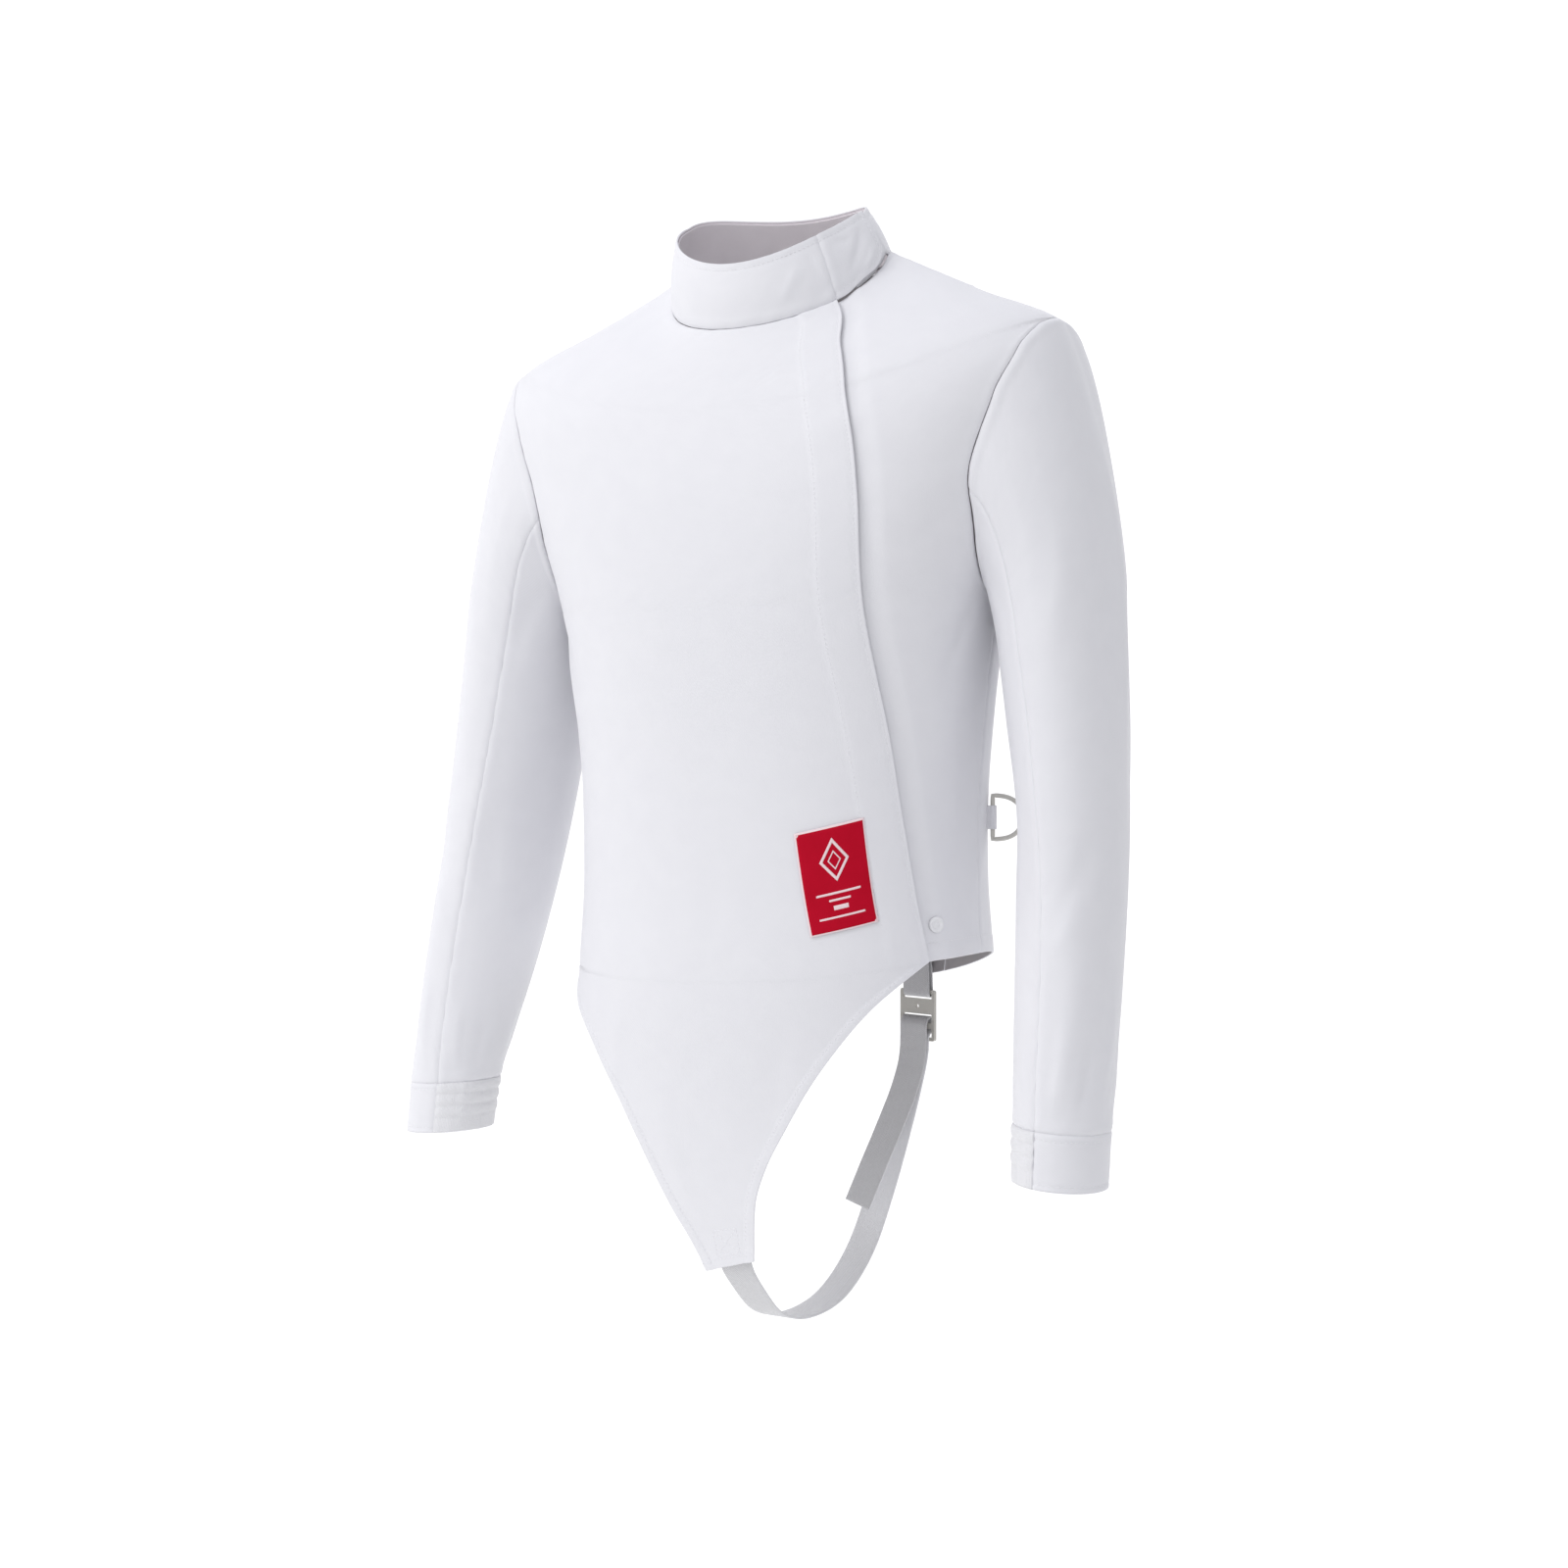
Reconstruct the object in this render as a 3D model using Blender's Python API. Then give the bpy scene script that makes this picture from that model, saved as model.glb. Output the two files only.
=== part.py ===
"""Fencing jacket, worn shape with no wearer, in metres with +Z up.

Axes: +X is the wearer's left, -Y is the front, the origin is the centre of the neck base.
The torso is one lofted surface. Every body panel is cut from it between seam curves,
and the sleeves start on its armhole curves.
"""
import math

import bmesh
import bpy
from mathutils import Vector

MM = 0.001
CLOTH = 2.0 * MM
LINING = 1.0 * MM
WEBBING = 1.6 * MM
SEAM = 0.3 * MM
LAYER = 0.8 * MM
LAP_WIDTH = 36.0 * MM
LAP_DROP = CLOTH + LAYER

HEM_T = 4.0
ARMPIT_T = 7.0
SHOULDER_T = 9.3
PRINCESS_T = 10.1
NECK_T = 11.0

# Torso rings, from the tab to the neck, in millimetres.
# level: ring number. front, side, back: heights of the ring. half: half width.
# y_front, y_back: depth at the centre. power: roundness, 2 is an ellipse.
# turn, tilt: how far the ring goes forward and up for each unit toward the wearer's left.
TORSO_RINGS = (
    # level, front, side, back, half, y_front, y_back, power, turn, tilt
    (0.0, -790, -790, -790, 172, -87, 112, 2.2, -0.22, 0.30),
    (1.0, -740, -740, -740, 172, -104, 114, 2.2, -0.12, 0.14),
    (2.0, -684, -684, -684, 172, -117, 116, 2.2, -0.04, 0.05),
    (3.0, -624, -616, -637, 171, -124, 120, 2.3, 0.0, 0.04),
    (4.0, -568, -556, -587, 170, -126, 124, 2.3, 0.0, 0.04),
    (5.0, -498, -486, -500, 167, -122, 113, 2.3, 0.0, 0.02),
    (6.0, -400, -394, -396, 171, -122, 104, 2.3, 0.0, 0.0),
    (7.0, -290, -280, -276, 186, -128, 114, 2.3, 0.0, 0.0),
    (8.0, -210, -174, -178, 224, -124, 115, 2.3, 0.0, 0.0),
    (9.0, -146, -86, -100, 250, -112, 104, 2.2, 0.0, 0.0),
    (10.0, -103, -39, -40, 168, -96, 87, 2.1, 0.0, 0.0),
    (11.0, -68, -1, -3, 93, -80, 68, 2.0, 0.0, 0.0),
)
# The neck ring falls away from the shoulder sooner than the rings below it.
RING_FALL = 2.0
NECK_FALL = 0.8
NECK_FALL_FROM = 9.4

# Armhole half angle seen from the side point of the ring, in degrees.
ARMHOLE = (
    # level, to the front, to the back
    (7.0, 0, 0),
    (7.15, 14, 13),
    (7.5, 25, 22),
    (8.0, 34, 27),
    (8.6, 35, 25),
    (9.0, 29, 19),
    (9.2, 18, 10.5),
    (9.3, 0, 0),
)

# Closing edge of the outer front, as the angle from the front centre.
CLOSING = (
    # level, degrees
    (4.0, 63),
    (5.0, 57),
    (6.0, 48.5),
    (7.0, 36.5),
    (8.0, 28),
    (9.0, 22.5),
    (10.0, 31),
    (11.0, 50),
)

# Princess seams of the back, as the angle from the back centre.
PRINCESS = (
    # level, left, right
    (4.0, 31, 33.5),
    (5.0, 36.5, 37.5),
    (6.0, 43, 39.5),
    (7.0, 44.5, 39.5),
    (8.0, 39, 36.5),
    (9.0, 38.5, 37.5),
    (9.5, 49.5, 49),
    (9.8, 61, 61),
    (10.0, 73, 73),
    (10.1, 90, 90),
)

# Leg edges of the tongue in millimetres across.
TONGUE = (
    # level, right edge, left edge
    (0.0, -26, 21),
    (0.5, -36, 25),
    (1.0, -50, 30),
    (1.5, -64, 41),
    (2.0, -79, 57),
    (2.5, -96, 75),
    (3.0, -119, 97),
    (3.5, -147, 121),
)

# Large soft folds of the torso: centre angle and level, spread in degrees and levels,
# lean in degrees for each level, height in millimetres.
TORSO_FOLDS = (
    # angle, level, spread, reach, lean, height
    (-128, 6.9, 7, 0.9, -14, 2.2),
    (-140, 6.5, 8, 0.9, -14, -2.0),
    (-116, 6.0, 8, 0.8, -10, 1.6),
    (132, 6.6, 9, 0.9, 12, 1.6),
    (-70, 6.6, 9, 0.8, 10, 1.4),
    (64, 6.4, 9, 0.7, -10, 1.2),
    (-60, 3.4, 12, 0.7, 10, 1.2),
    (178, 4.3, 16, 0.6, 0, 1.6),
)

SLEEVE_RINGS = (
    # reach, x, y, z, half_x, half_y, twist, tilt
    (0.30, 238, -4, -294, 46.5, 69, 2, 26),
    (0.46, 247, -12, -392, 44, 65, 7, 12),
    (0.60, 253, -26, -474, 41.5, 60, 11, 4),
    (0.76, 258, -49, -560, 39, 53, 12, 0),
    (0.90, 262, -71, -630, 36.5, 44, 10, -2),
    (1.00, 264, -81, -664, 35, 38, 8, -2),
    (1.10, 265, -88, -703, 34, 36.5, 7, -2),
)

# How far the back seam wanders round the sleeve, in degrees.
BACK_SEAM_DRIFT = (
    # reach, degrees
    (0.30, -14),
    (0.46, -6),
    (0.60, 7),
    (0.76, 16),
    (1.00, 24),
)
BACK_SEAM_SPREAD = 70.0
CUFF_REACH = 1.0

# Lengthwise folds of the sleeves: centre angle, spread, start and end of reach, height.
SLEEVE_FOLDS = (
    # angle, spread, begin, end, height
    (20, 16, 0.10, 0.62, 2.2),
    (-22, 14, 0.16, 0.74, -2.0),
    (-60, 14, 0.30, 0.95, 1.8),
    (110, 16, 0.36, 0.70, 1.8),
    (165, 18, 0.40, 0.66, -2.2),
    (75, 14, 0.62, 0.98, 1.4),
)
FRONT_SEAM_ANGLE = 112
BACK_SEAM_ANGLE = -72

# Centre line of the strap, from inside the tab, round below and up to the buckle.
STRAP_PATH = (
    # x, y, z
    (-2, -81.5, -768),
    (-2, -78.5, -790),
    (0, -62, -812),
    (3, -32, -838),
    (9, 6, -848),
    (19, 48, -840),
    (29, 82, -810),
    (40, 101, -762),
    (54, 107.5, -706),
    (66, 107.6, -658),
)
# Strap at the buckle: inward depth and height from the buckle centre.
STRAP_WRAP = (
    # depth, height
    (-3.0, -26),
    (-2.9, -19),
    (-1.4, -14.8),
    (1.4, -12.3),
    (3.1, -9.6),
    (2.9, -3.6),
    (0.6, -0.6),
    (-3.4, -1.6),
    (-5.6, -6.2),
    (-6.0, -14),
    (-6.4, -26),
)
TAIL_PATH = (
    # x, outward depth and height from the buckle centre
    (-1, -8.5, -42),
    (-6, -13.5, -66),
    (-14, -22, -95),
    (-21, -34, -126),
    (-27, -46, -156),
)
STRAP_WIDTH = 29.0 * MM
BUCKLE_CENTRE = Vector((70.0, 110.6, -614.0)) * MM
BUCKLE_TURN = math.radians(-18.0)


def slope_at(keys, values, index, even):
    """Slope of a column at one row. An even slope is the mean of both sides."""
    last = len(keys) - 1
    if index in (0, last):
        near = min(index, last - 1)
        return (values[near + 1] - values[near]) / (keys[near + 1] - keys[near])
    before = (values[index] - values[index - 1]) / (keys[index] - keys[index - 1])
    after = (values[index + 1] - values[index]) / (keys[index + 1] - keys[index])
    if even:
        return (before + after) / 2
    if before * after <= 0:
        return 0.0
    return 2 * before * after / (before + after)


def interpolate(table, key, column, even=False):
    """Smooth value of one column at a key. Uneven slopes never overshoot."""
    keys = [row[0] for row in table]
    values = [row[column] for row in table]
    if key <= keys[0]:
        return values[0]
    if key >= keys[-1]:
        return values[-1]
    place = 0
    while key > keys[place + 1]:
        place += 1
    width = keys[place + 1] - keys[place]
    u = (key - keys[place]) / width
    first = slope_at(keys, values, place, even) * width
    second = slope_at(keys, values, place + 1, even) * width
    start = (1 + 2 * u) * (1 - u) ** 2 * values[place] + u * (1 - u) ** 2 * first
    finish = u * u * (3 - 2 * u) * values[place + 1] + u * u * (u - 1) * second
    return start + finish


def smooth_step(value):
    value = min(max(value, 0.0), 1.0)
    return value * value * (3 - 2 * value)


def signed_power(value, power):
    return math.copysign(abs(value) ** power, value)


def torso_base(angle, level):
    """Point of the torso surface. Angle in degrees from the front toward the wearer's left."""
    front, side, back, half, y_front, y_back, power, turn, tilt = (
        interpolate(TORSO_RINGS, level, column, even=True) for column in range(1, 10))
    neck = smooth_step((level - NECK_FALL_FROM) / (NECK_T - NECK_FALL_FROM))
    fall = RING_FALL + (NECK_FALL - RING_FALL) * neck
    across = math.sin(math.radians(angle))
    along = math.cos(math.radians(angle))
    x = half * signed_power(across, 2 / power)
    depth = abs(y_front) if along > 0 else y_back
    y = -depth * signed_power(along, 2 / power) + turn * x
    centre = front if along > 0 else back
    z = side + (centre - side) * abs(along) ** fall + tilt * x
    return Vector((x, y, z)) * MM


def torso_normal(angle, level, step=0.02):
    turn = torso_base(angle + 50 * step, level) - torso_base(angle - 50 * step, level)
    low = max(level - step, 0.0)
    high = min(level + step, NECK_T)
    rise = torso_base(angle, high) - torso_base(angle, low)
    return turn.cross(rise).normalized()


def torso_fold(angle, level):
    total = 0.0
    for centre, height_level, spread, reach, lean, height in TORSO_FOLDS:
        line = centre + lean * (level - height_level)
        off = (angle - line + 180) % 360 - 180
        fade = (level - height_level) / reach
        total += height * math.exp(-(off / spread) ** 2 - fade * fade)
    return total * MM


def torso_point(angle, level):
    return torso_base(angle, level) + torso_normal(angle, level) * torso_fold(angle, level)


def ring_angle(x, level):
    """Angle on the front of a ring whose point lies at x millimetres across."""
    half = interpolate(TORSO_RINGS, level, 4, even=True)
    power = interpolate(TORSO_RINGS, level, 7, even=True)
    share = min(max(x / half, -1.0), 1.0)
    return math.degrees(math.asin(signed_power(share, power / 2)))


def level_rows(first, last, marks, step):
    """Levels from first to last that pass through every mark, about a step apart."""
    stops = [first] + [m for m in marks if first + 1e-6 < m < last - 1e-6] + [last]
    rows = [first]
    for begin, end in zip(stops, stops[1:]):
        count = max(1, round((end - begin) / step))
        rows += [begin + (end - begin) * k / count for k in range(1, count + 1)]
    return rows


MARKS = (HEM_T, ARMPIT_T, 7.15, 7.5, 8.0, 8.6, 9.0, 9.2, SHOULDER_T, PRINCESS_T)
BODY_ROWS = level_rows(HEM_T, NECK_T, MARKS, 0.31)
TONGUE_ROWS = level_rows(0.0, HEM_T, (), 0.25)


def armhole_offset(level, column):
    if level <= ARMPIT_T or level >= SHOULDER_T:
        return 0.0
    return interpolate(ARMHOLE, level, column)


def build_object(name, vertices, faces, material):
    """Make one object from shared points, with its faces turned outward."""
    mesh = bpy.data.meshes.new(name)
    mesh.from_pydata([tuple(v) for v in vertices], [], faces)
    work = bmesh.new()
    work.from_mesh(mesh)
    bmesh.ops.remove_doubles(work, verts=work.verts, dist=1e-6)
    bmesh.ops.triangulate(work, faces=work.faces)
    bmesh.ops.recalc_face_normals(work, faces=work.faces)
    work.to_mesh(mesh)
    work.free()
    item = bpy.data.objects.new(name, mesh)
    bpy.context.scene.collection.objects.link(item)
    item.data.materials.append(material)
    return item


def make_material(name, colour, roughness):
    material = bpy.data.materials.new(name)
    material.use_nodes = True
    shader = material.node_tree.nodes["Principled BSDF"]
    shader.inputs["Base Color"].default_value = (*colour, 1.0)
    shader.inputs["Roughness"].default_value = roughness
    return material


def shrink_border(grid, normals, gap, wrapped=False):
    """Move the border of a grid inward along the cloth by the gap."""
    rows = len(grid)
    columns = len(grid[0])
    moves = [[Vector((0, 0, 0)) for _ in range(columns)] for _ in range(rows)]

    def push(row, column, tangent, inside):
        normal = normals[row][column]
        aside = normal.cross(tangent)
        if aside.length < 1e-9:
            return
        aside.normalize()
        if aside.dot(inside) < 0:
            aside = -aside
        moves[row][column] += aside * gap

    for column in range(columns):
        before = max(column - 1, 0)
        after = min(column + 1, columns - 1)
        for row, next_row in ((0, 1), (rows - 1, rows - 2)):
            tangent = grid[row][after] - grid[row][before]
            push(row, column, tangent, grid[next_row][column] - grid[row][column])
    if not wrapped:
        for row in range(rows):
            low = max(row - 1, 0)
            high = min(row + 1, rows - 1)
            for column, beside in ((0, 1), (columns - 1, columns - 2)):
                tangent = grid[high][column] - grid[low][column]
                inside = grid[row][beside] - grid[row][column]
                if inside.length < 1e-6:
                    inside = grid[low][beside] - grid[low][column]
                push(row, column, tangent, inside)
        for row in (0, rows - 1):
            if (grid[row][0] - grid[row][-1]).length < 1e-6:
                tip = moves[row][0] + moves[row][-1]
                moves[row] = [tip for _ in range(columns)]
    return [[grid[r][c] + moves[r][c] for c in range(columns)] for r in range(rows)]


def grid_normals(grid, wrapped=False):
    rows = len(grid)
    columns = len(grid[0])
    normals = []
    for row in range(rows):
        line = []
        for column in range(columns):
            low = grid[max(row - 1, 0)]
            high = grid[min(row + 1, rows - 1)]
            if wrapped:
                before = grid[row][(column - 1) % columns]
                after = grid[row][(column + 1) % columns]
            else:
                before = grid[row][max(column - 1, 0)]
                after = grid[row][min(column + 1, columns - 1)]
            normal = (after - before).cross(high[column] - low[column])
            line.append(normal.normalized())
        normals.append(line)
    return normals


def shell_object(name, grid, normals, thickness, material, wrapped=False):
    """Closed wall with its outer face on the grid and its inner face under it."""
    rows = len(grid)
    columns = len(grid[0])
    outer = [point for line in grid for point in line]
    inner = [grid[r][c] - normals[r][c] * thickness
             for r in range(rows) for c in range(columns)]
    shift = rows * columns
    faces = []
    last = columns if wrapped else columns - 1
    for row in range(rows - 1):
        for column in range(last):
            a = row * columns + column
            b = row * columns + (column + 1) % columns
            c = b + columns
            d = a + columns
            faces.append((a, b, c, d))
            faces.append((d + shift, c + shift, b + shift, a + shift))
    for column in range(last):
        a = column
        b = (column + 1) % columns
        faces.append((b, a, a + shift, b + shift))
        a += (rows - 1) * columns
        b += (rows - 1) * columns
        faces.append((a, b, b + shift, a + shift))
    if not wrapped:
        for row in range(rows - 1):
            a = row * columns
            b = a + columns
            faces.append((a, b, b + shift, a + shift))
            a = row * columns + columns - 1
            b = a + columns
            faces.append((b, a, a + shift, b + shift))
    return build_object(name, outer + inner, faces, material)


def torso_panel(name, rows, left, right, count, material, drop=None):
    """Panel between two border angles given as functions of the level."""
    grid = []
    normals = []
    for level in rows:
        line = []
        normal_line = []
        a = left(level)
        b = right(level)
        for k in range(count + 1):
            angle = a + (b - a) * k / count
            normal = torso_normal(angle, level)
            depth = drop(angle, level) if drop else 0.0
            line.append(torso_point(angle, level) - normal * depth)
            normal_line.append(normal)
        grid.append(line)
        normals.append(normal_line)
    grid = shrink_border(grid, normals, SEAM / 2)
    return shell_object(name, grid, normals, CLOTH, material)


def right_front_border(level):
    if level < HEM_T:
        return ring_angle(interpolate(TONGUE + ((HEM_T, -170, 150),), level, 1), level)
    return -90 + armhole_offset(level, 1)


def left_front_border(level):
    if level < HEM_T:
        closing_x = torso_base(CLOSING[0][1], HEM_T).x / MM
        return ring_angle(interpolate(TONGUE + ((HEM_T, -170, closing_x),), level, 2), level)
    return interpolate(CLOSING, level, 1)


def build_front(material):
    rows = TONGUE_ROWS + BODY_ROWS[1:]
    return torso_panel("front_panel", rows, right_front_border, left_front_border, 17, material)


def lap_angle(level):
    """Angle taken by the part of the under front that is covered."""
    centre = interpolate(CLOSING, level, 1)
    step = (torso_base(centre, level) - torso_base(centre - 5, level)).length / 5
    return min(LAP_WIDTH / step, 30.0)


def under_drop(angle, level):
    beyond = (angle - interpolate(CLOSING, level, 1)) / max(lap_angle(level), 1e-6)
    return LAP_DROP * (1 - smooth_step((beyond - 0.12) / 0.5))


def build_under_front(material):
    def inner_border(level):
        return interpolate(CLOSING, level, 1) - lap_angle(level)

    def side_border(level):
        return 90 - armhole_offset(level, 1)

    return torso_panel("front_under_panel", BODY_ROWS, inner_border, side_border, 9, material,
                       drop=under_drop)


def princess_angle(level, column):
    return interpolate(PRINCESS, level, column)


def build_back(material):
    def left_border(level):
        return 180 - princess_angle(min(level, PRINCESS_T), 1)

    def right_border(level):
        return 180 + princess_angle(min(level, PRINCESS_T), 2)

    return torso_panel("back_panel", BODY_ROWS, left_border, right_border, 14, material)


def build_back_side(name, side, material):
    rows = [level for level in BODY_ROWS if level <= PRINCESS_T + 1e-6]
    column = 1 if side > 0 else 2

    def outer_border(level):
        return 180 - side * (90 - armhole_offset(level, 2))

    def inner_border(level):
        return 180 - side * princess_angle(level, column)

    if side > 0:
        return torso_panel(name, rows, outer_border, inner_border, 6, material)
    return torso_panel(name, rows, inner_border, outer_border, 6, material)


def armhole_loop(side):
    """Armhole points and torso normals, from the top down the front and up the back."""
    levels = [level for level in BODY_ROWS if ARMPIT_T <= level <= SHOULDER_T]
    loop = []
    for level in reversed(levels):
        angle = 90 - armhole_offset(level, 1)
        loop.append((angle, level))
    for level in levels[1:-1]:
        angle = 90 + armhole_offset(level, 2)
        loop.append((angle, level))
    points = [(torso_point(angle * side, level), torso_normal(angle * side, level))
              for angle, level in loop]
    return points, len(levels) - 1


# The cap leaves the armhole outward and down, more steeply under the arm.
CAP_ROWS = 8
SLEEVE_ROWS = 13
CAP_GAP_SHARE = 1.6
CAP_OUT = 0.92
CAP_OUT_LOW = 0.75
CAP_DOWN = 0.45
CAP_DOWN_LOW = 0.35
CAP_PULL = 0.9
CAP_PULL_TOP = 0.58
CAP_ARRIVE_TOP = 0.35


def sleeve_section(side, reach, angle):
    """Point of the sleeve tube. Angle 0 faces out, 90 faces front."""
    x, y, z, half_x, half_y, twist, tilt = (
        interpolate(SLEEVE_RINGS, reach, column, even=True) for column in range(1, 8))
    off = (angle - BACK_SEAM_ANGLE + 180) % 360 - 180
    drift = interpolate(BACK_SEAM_DRIFT, reach, 1) * math.exp(-(off / BACK_SEAM_SPREAD) ** 2)
    angle += drift
    a = math.radians(angle)
    local_x = half_x * math.cos(a)
    local_y = -half_y * math.sin(a)
    t = math.radians(twist)
    px = local_x * math.cos(t) - local_y * math.sin(t)
    py = local_x * math.sin(t) + local_y * math.cos(t)
    fold = 0.0
    for centre, spread, begin, end, height in SLEEVE_FOLDS:
        off = (angle - centre + 180) % 360 - 180
        middle = (begin + end) / 2
        fade = (reach - middle) / ((end - begin) / 2)
        if abs(fade) < 1:
            fold += height * math.exp(-(off / spread) ** 2) * math.cos(fade * math.pi / 2) ** 2
    out = Vector((math.cos(a), -math.sin(a)))
    px += out.x * fold
    py += out.y * fold
    height_z = z + tilt * local_x / half_x
    return Vector((side * (x + px), y + py, height_z)) * MM


def sleeve_columns(side):
    """Angles of the sleeve columns that start at each armhole point."""
    loop, armpit = armhole_loop(side)
    count = len(loop)
    lengths = [0.0]
    for index in range(count):
        step = (loop[(index + 1) % count][0] - loop[index][0]).length
        lengths.append(lengths[-1] + step)
    front_total = lengths[armpit]
    back_total = lengths[-1] - front_total
    angles = []
    for index in range(count):
        if index <= armpit:
            angles.append(180 * lengths[index] / front_total)
        else:
            angles.append(180 + 180 * (lengths[index] - front_total) / back_total)
    return loop, angles


def sleeve_grid(side):
    """Rows of points from the armhole to the cuff, one column for each armhole point."""
    loop, angles = sleeve_columns(side)
    first = SLEEVE_RINGS[0][0]
    away = Vector((side, 0, 0))
    grid = []
    for row in range(CAP_ROWS + 1):
        u = row / CAP_ROWS
        line = []
        for (point, normal), angle in zip(loop, angles):
            start = point + away * SEAM * CAP_GAP_SHARE
            end = sleeve_section(side, first, angle)
            beyond = sleeve_section(side, first + 0.02, angle)
            span = (end - start).length
            top = max(math.cos(math.radians(angle)), 0.0)
            low = max(-math.cos(math.radians(angle)), 0.0)
            out = Vector((side * (CAP_OUT - CAP_OUT_LOW * low), 0, -CAP_DOWN - CAP_DOWN_LOW * low))
            tangent = out - normal * out.dot(normal) * top
            tangent = tangent.normalized() * span * (CAP_PULL - CAP_PULL_TOP * top)
            finish = (beyond - end).normalized() * span * (CAP_PULL - CAP_ARRIVE_TOP * top)
            part = start * (1 + 2 * u) * (1 - u) ** 2 + tangent * u * (1 - u) ** 2
            line.append(part + end * u * u * (3 - 2 * u) + finish * u * u * (u - 1))
        grid.append(line)
    steps = SLEEVE_ROWS
    reaches = [first + (CUFF_REACH - first) * k / steps for k in range(1, steps + 1)]
    for reach in reaches:
        grid.append([sleeve_section(side, reach, angle) for angle in angles])
    return grid, loop, angles


def ring_slice(grid, normals, begin, end):
    """Columns from begin to end, walking forward round the ring."""
    count = len(grid[0])
    steps = (end - begin) % count
    order = [(begin + k) % count for k in range(steps + 1)]
    cut = [[line[k] for k in order] for line in grid]
    cut_normals = [[line[k] for k in order] for line in normals]
    return cut, cut_normals


def nearest_angle(angles, wanted):
    wanted = wanted % 360
    return min(range(len(angles)), key=lambda k: abs((angles[k] - wanted + 180) % 360 - 180))


def sleeve_normals(grid, loop):
    """Normals that face out. The first row takes the torso's where they are close."""
    normals = grid_normals(grid, wrapped=True)
    fixed = []
    centre_rows = [sum(line, Vector((0, 0, 0))) / len(line) for line in grid]
    for row, line in enumerate(normals):
        out = []
        for column, normal in enumerate(line):
            if normal.dot(grid[row][column] - centre_rows[row]) < 0:
                normal = -normal
            out.append(normal)
        fixed.append(out)
    for column, (point, normal) in enumerate(loop):
        if normal.dot(fixed[0][column]) > 0.3:
            fixed[0][column] = normal
    return fixed


def build_sleeve(side, tag, materials):
    grid, loop, angles = sleeve_grid(side)
    normals = sleeve_normals(grid, loop)
    front = nearest_angle(angles, FRONT_SEAM_ANGLE)
    back = nearest_angle(angles, BACK_SEAM_ANGLE)
    upper, upper_normals = ring_slice(grid, normals, back, front)
    under, under_normals = ring_slice(grid, normals, front, back)
    upper = shrink_border(upper, upper_normals, SEAM / 2)
    under = shrink_border(under, under_normals, SEAM / 2)
    shell_object("sleeve_upper_" + tag, upper, upper_normals, CLOTH, materials["cloth"])
    shell_object("sleeve_under_" + tag, under, under_normals, CLOTH, materials["cloth"])
    build_cuff(side, tag, angles, front, back, materials)


CUFF_ROWS = 18
RIB_HEIGHT = 1.1 * MM


def build_cuff(side, tag, angles, front, back, materials):
    """Plain band on the outer side and ribbed elastic on the under side."""
    last = SLEEVE_RINGS[-1][0]
    grid = []
    for row in range(CUFF_ROWS + 1):
        reach = CUFF_REACH + (last - CUFF_REACH) * row / CUFF_ROWS
        grid.append([sleeve_section(side, reach, angle) for angle in angles])
    normals = sleeve_normals(grid, [])
    band, band_normals = ring_slice(grid, normals, back, front)
    band = band[::3]
    band_normals = band_normals[::3]
    band = shrink_border(band, band_normals, SEAM / 2)
    shell_object("cuff_band_" + tag, band, band_normals, CLOTH, materials["cloth"])
    elastic, elastic_normals = ring_slice(grid, normals, front, back)
    raised = []
    for row, line in enumerate(elastic):
        wave = RIB_HEIGHT * abs(math.sin(math.pi * row / 6))
        raised.append([p + n * wave for p, n in zip(line, elastic_normals[row])])
    raised = shrink_border(raised, elastic_normals, SEAM / 2)
    shell_object("cuff_elastic_" + tag, raised, elastic_normals, CLOTH, materials["elastic"])


COLLAR_JOIN = 50.0
COLLAR_UNDER_END = -296.0
COLLAR_TAB_END = 84.0
COLLAR_TUCK = LAP_DROP + 0.5 * MM
COLLAR_TOP = {
    # sizes of the top edge in millimetres, heights from the neck base
    "half_width": 80.0,
    "front_depth": 75.0,
    "back_depth": 50.0,
    "forward": 6.0,
    "to_right": 6.0,
    "front_height": -18.0,
    "side_height": 34.0,
    "back_height": 46.0,
    "lean": 3.0,
    "bulge": 2.5,
}


def collar_point(angle, share):
    """Point of the stand collar, from its base at share 0 to its top edge at share 1."""
    a = math.radians(angle)
    facing = math.cos(a)
    depth = COLLAR_TOP["front_depth"] if facing > 0 else COLLAR_TOP["back_depth"]
    half_rise = (COLLAR_TOP["back_height"] - COLLAR_TOP["front_height"]) / 2
    middle = (COLLAR_TOP["back_height"] + COLLAR_TOP["front_height"]) / 2
    height = (COLLAR_TOP["side_height"] - half_rise * facing
              + (middle - COLLAR_TOP["side_height"]) * facing * facing
              - COLLAR_TOP["lean"] * math.sin(a))
    top = Vector((COLLAR_TOP["half_width"] * math.sin(a) - COLLAR_TOP["to_right"],
                  -depth * facing - COLLAR_TOP["forward"], height)) * MM
    out = Vector((math.sin(a), -facing, 0.0))
    bulge = out * COLLAR_TOP["bulge"] * MM * math.sin(math.pi * share)
    start = torso_base(angle, NECK_T) + Vector((0, 0, SEAM))
    return start + (top - start) * share + bulge


def collar_normal(angle, share):
    turn = collar_point(angle + 1, share) - collar_point(angle - 1, share)
    rise = collar_point(angle, share + 0.02) - collar_point(angle, share - 0.02)
    return turn.cross(rise).normalized()


def collar_tuck(angle):
    """The end of the band goes in below the tab."""
    return -COLLAR_TUCK * smooth_step((-angle - 236.0) / 36.0)


def tab_lift(angle):
    """The free end of the tab stands a little off the collar."""
    return 3.5 * MM * smooth_step((angle - 60.0) / 28.0)


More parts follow.
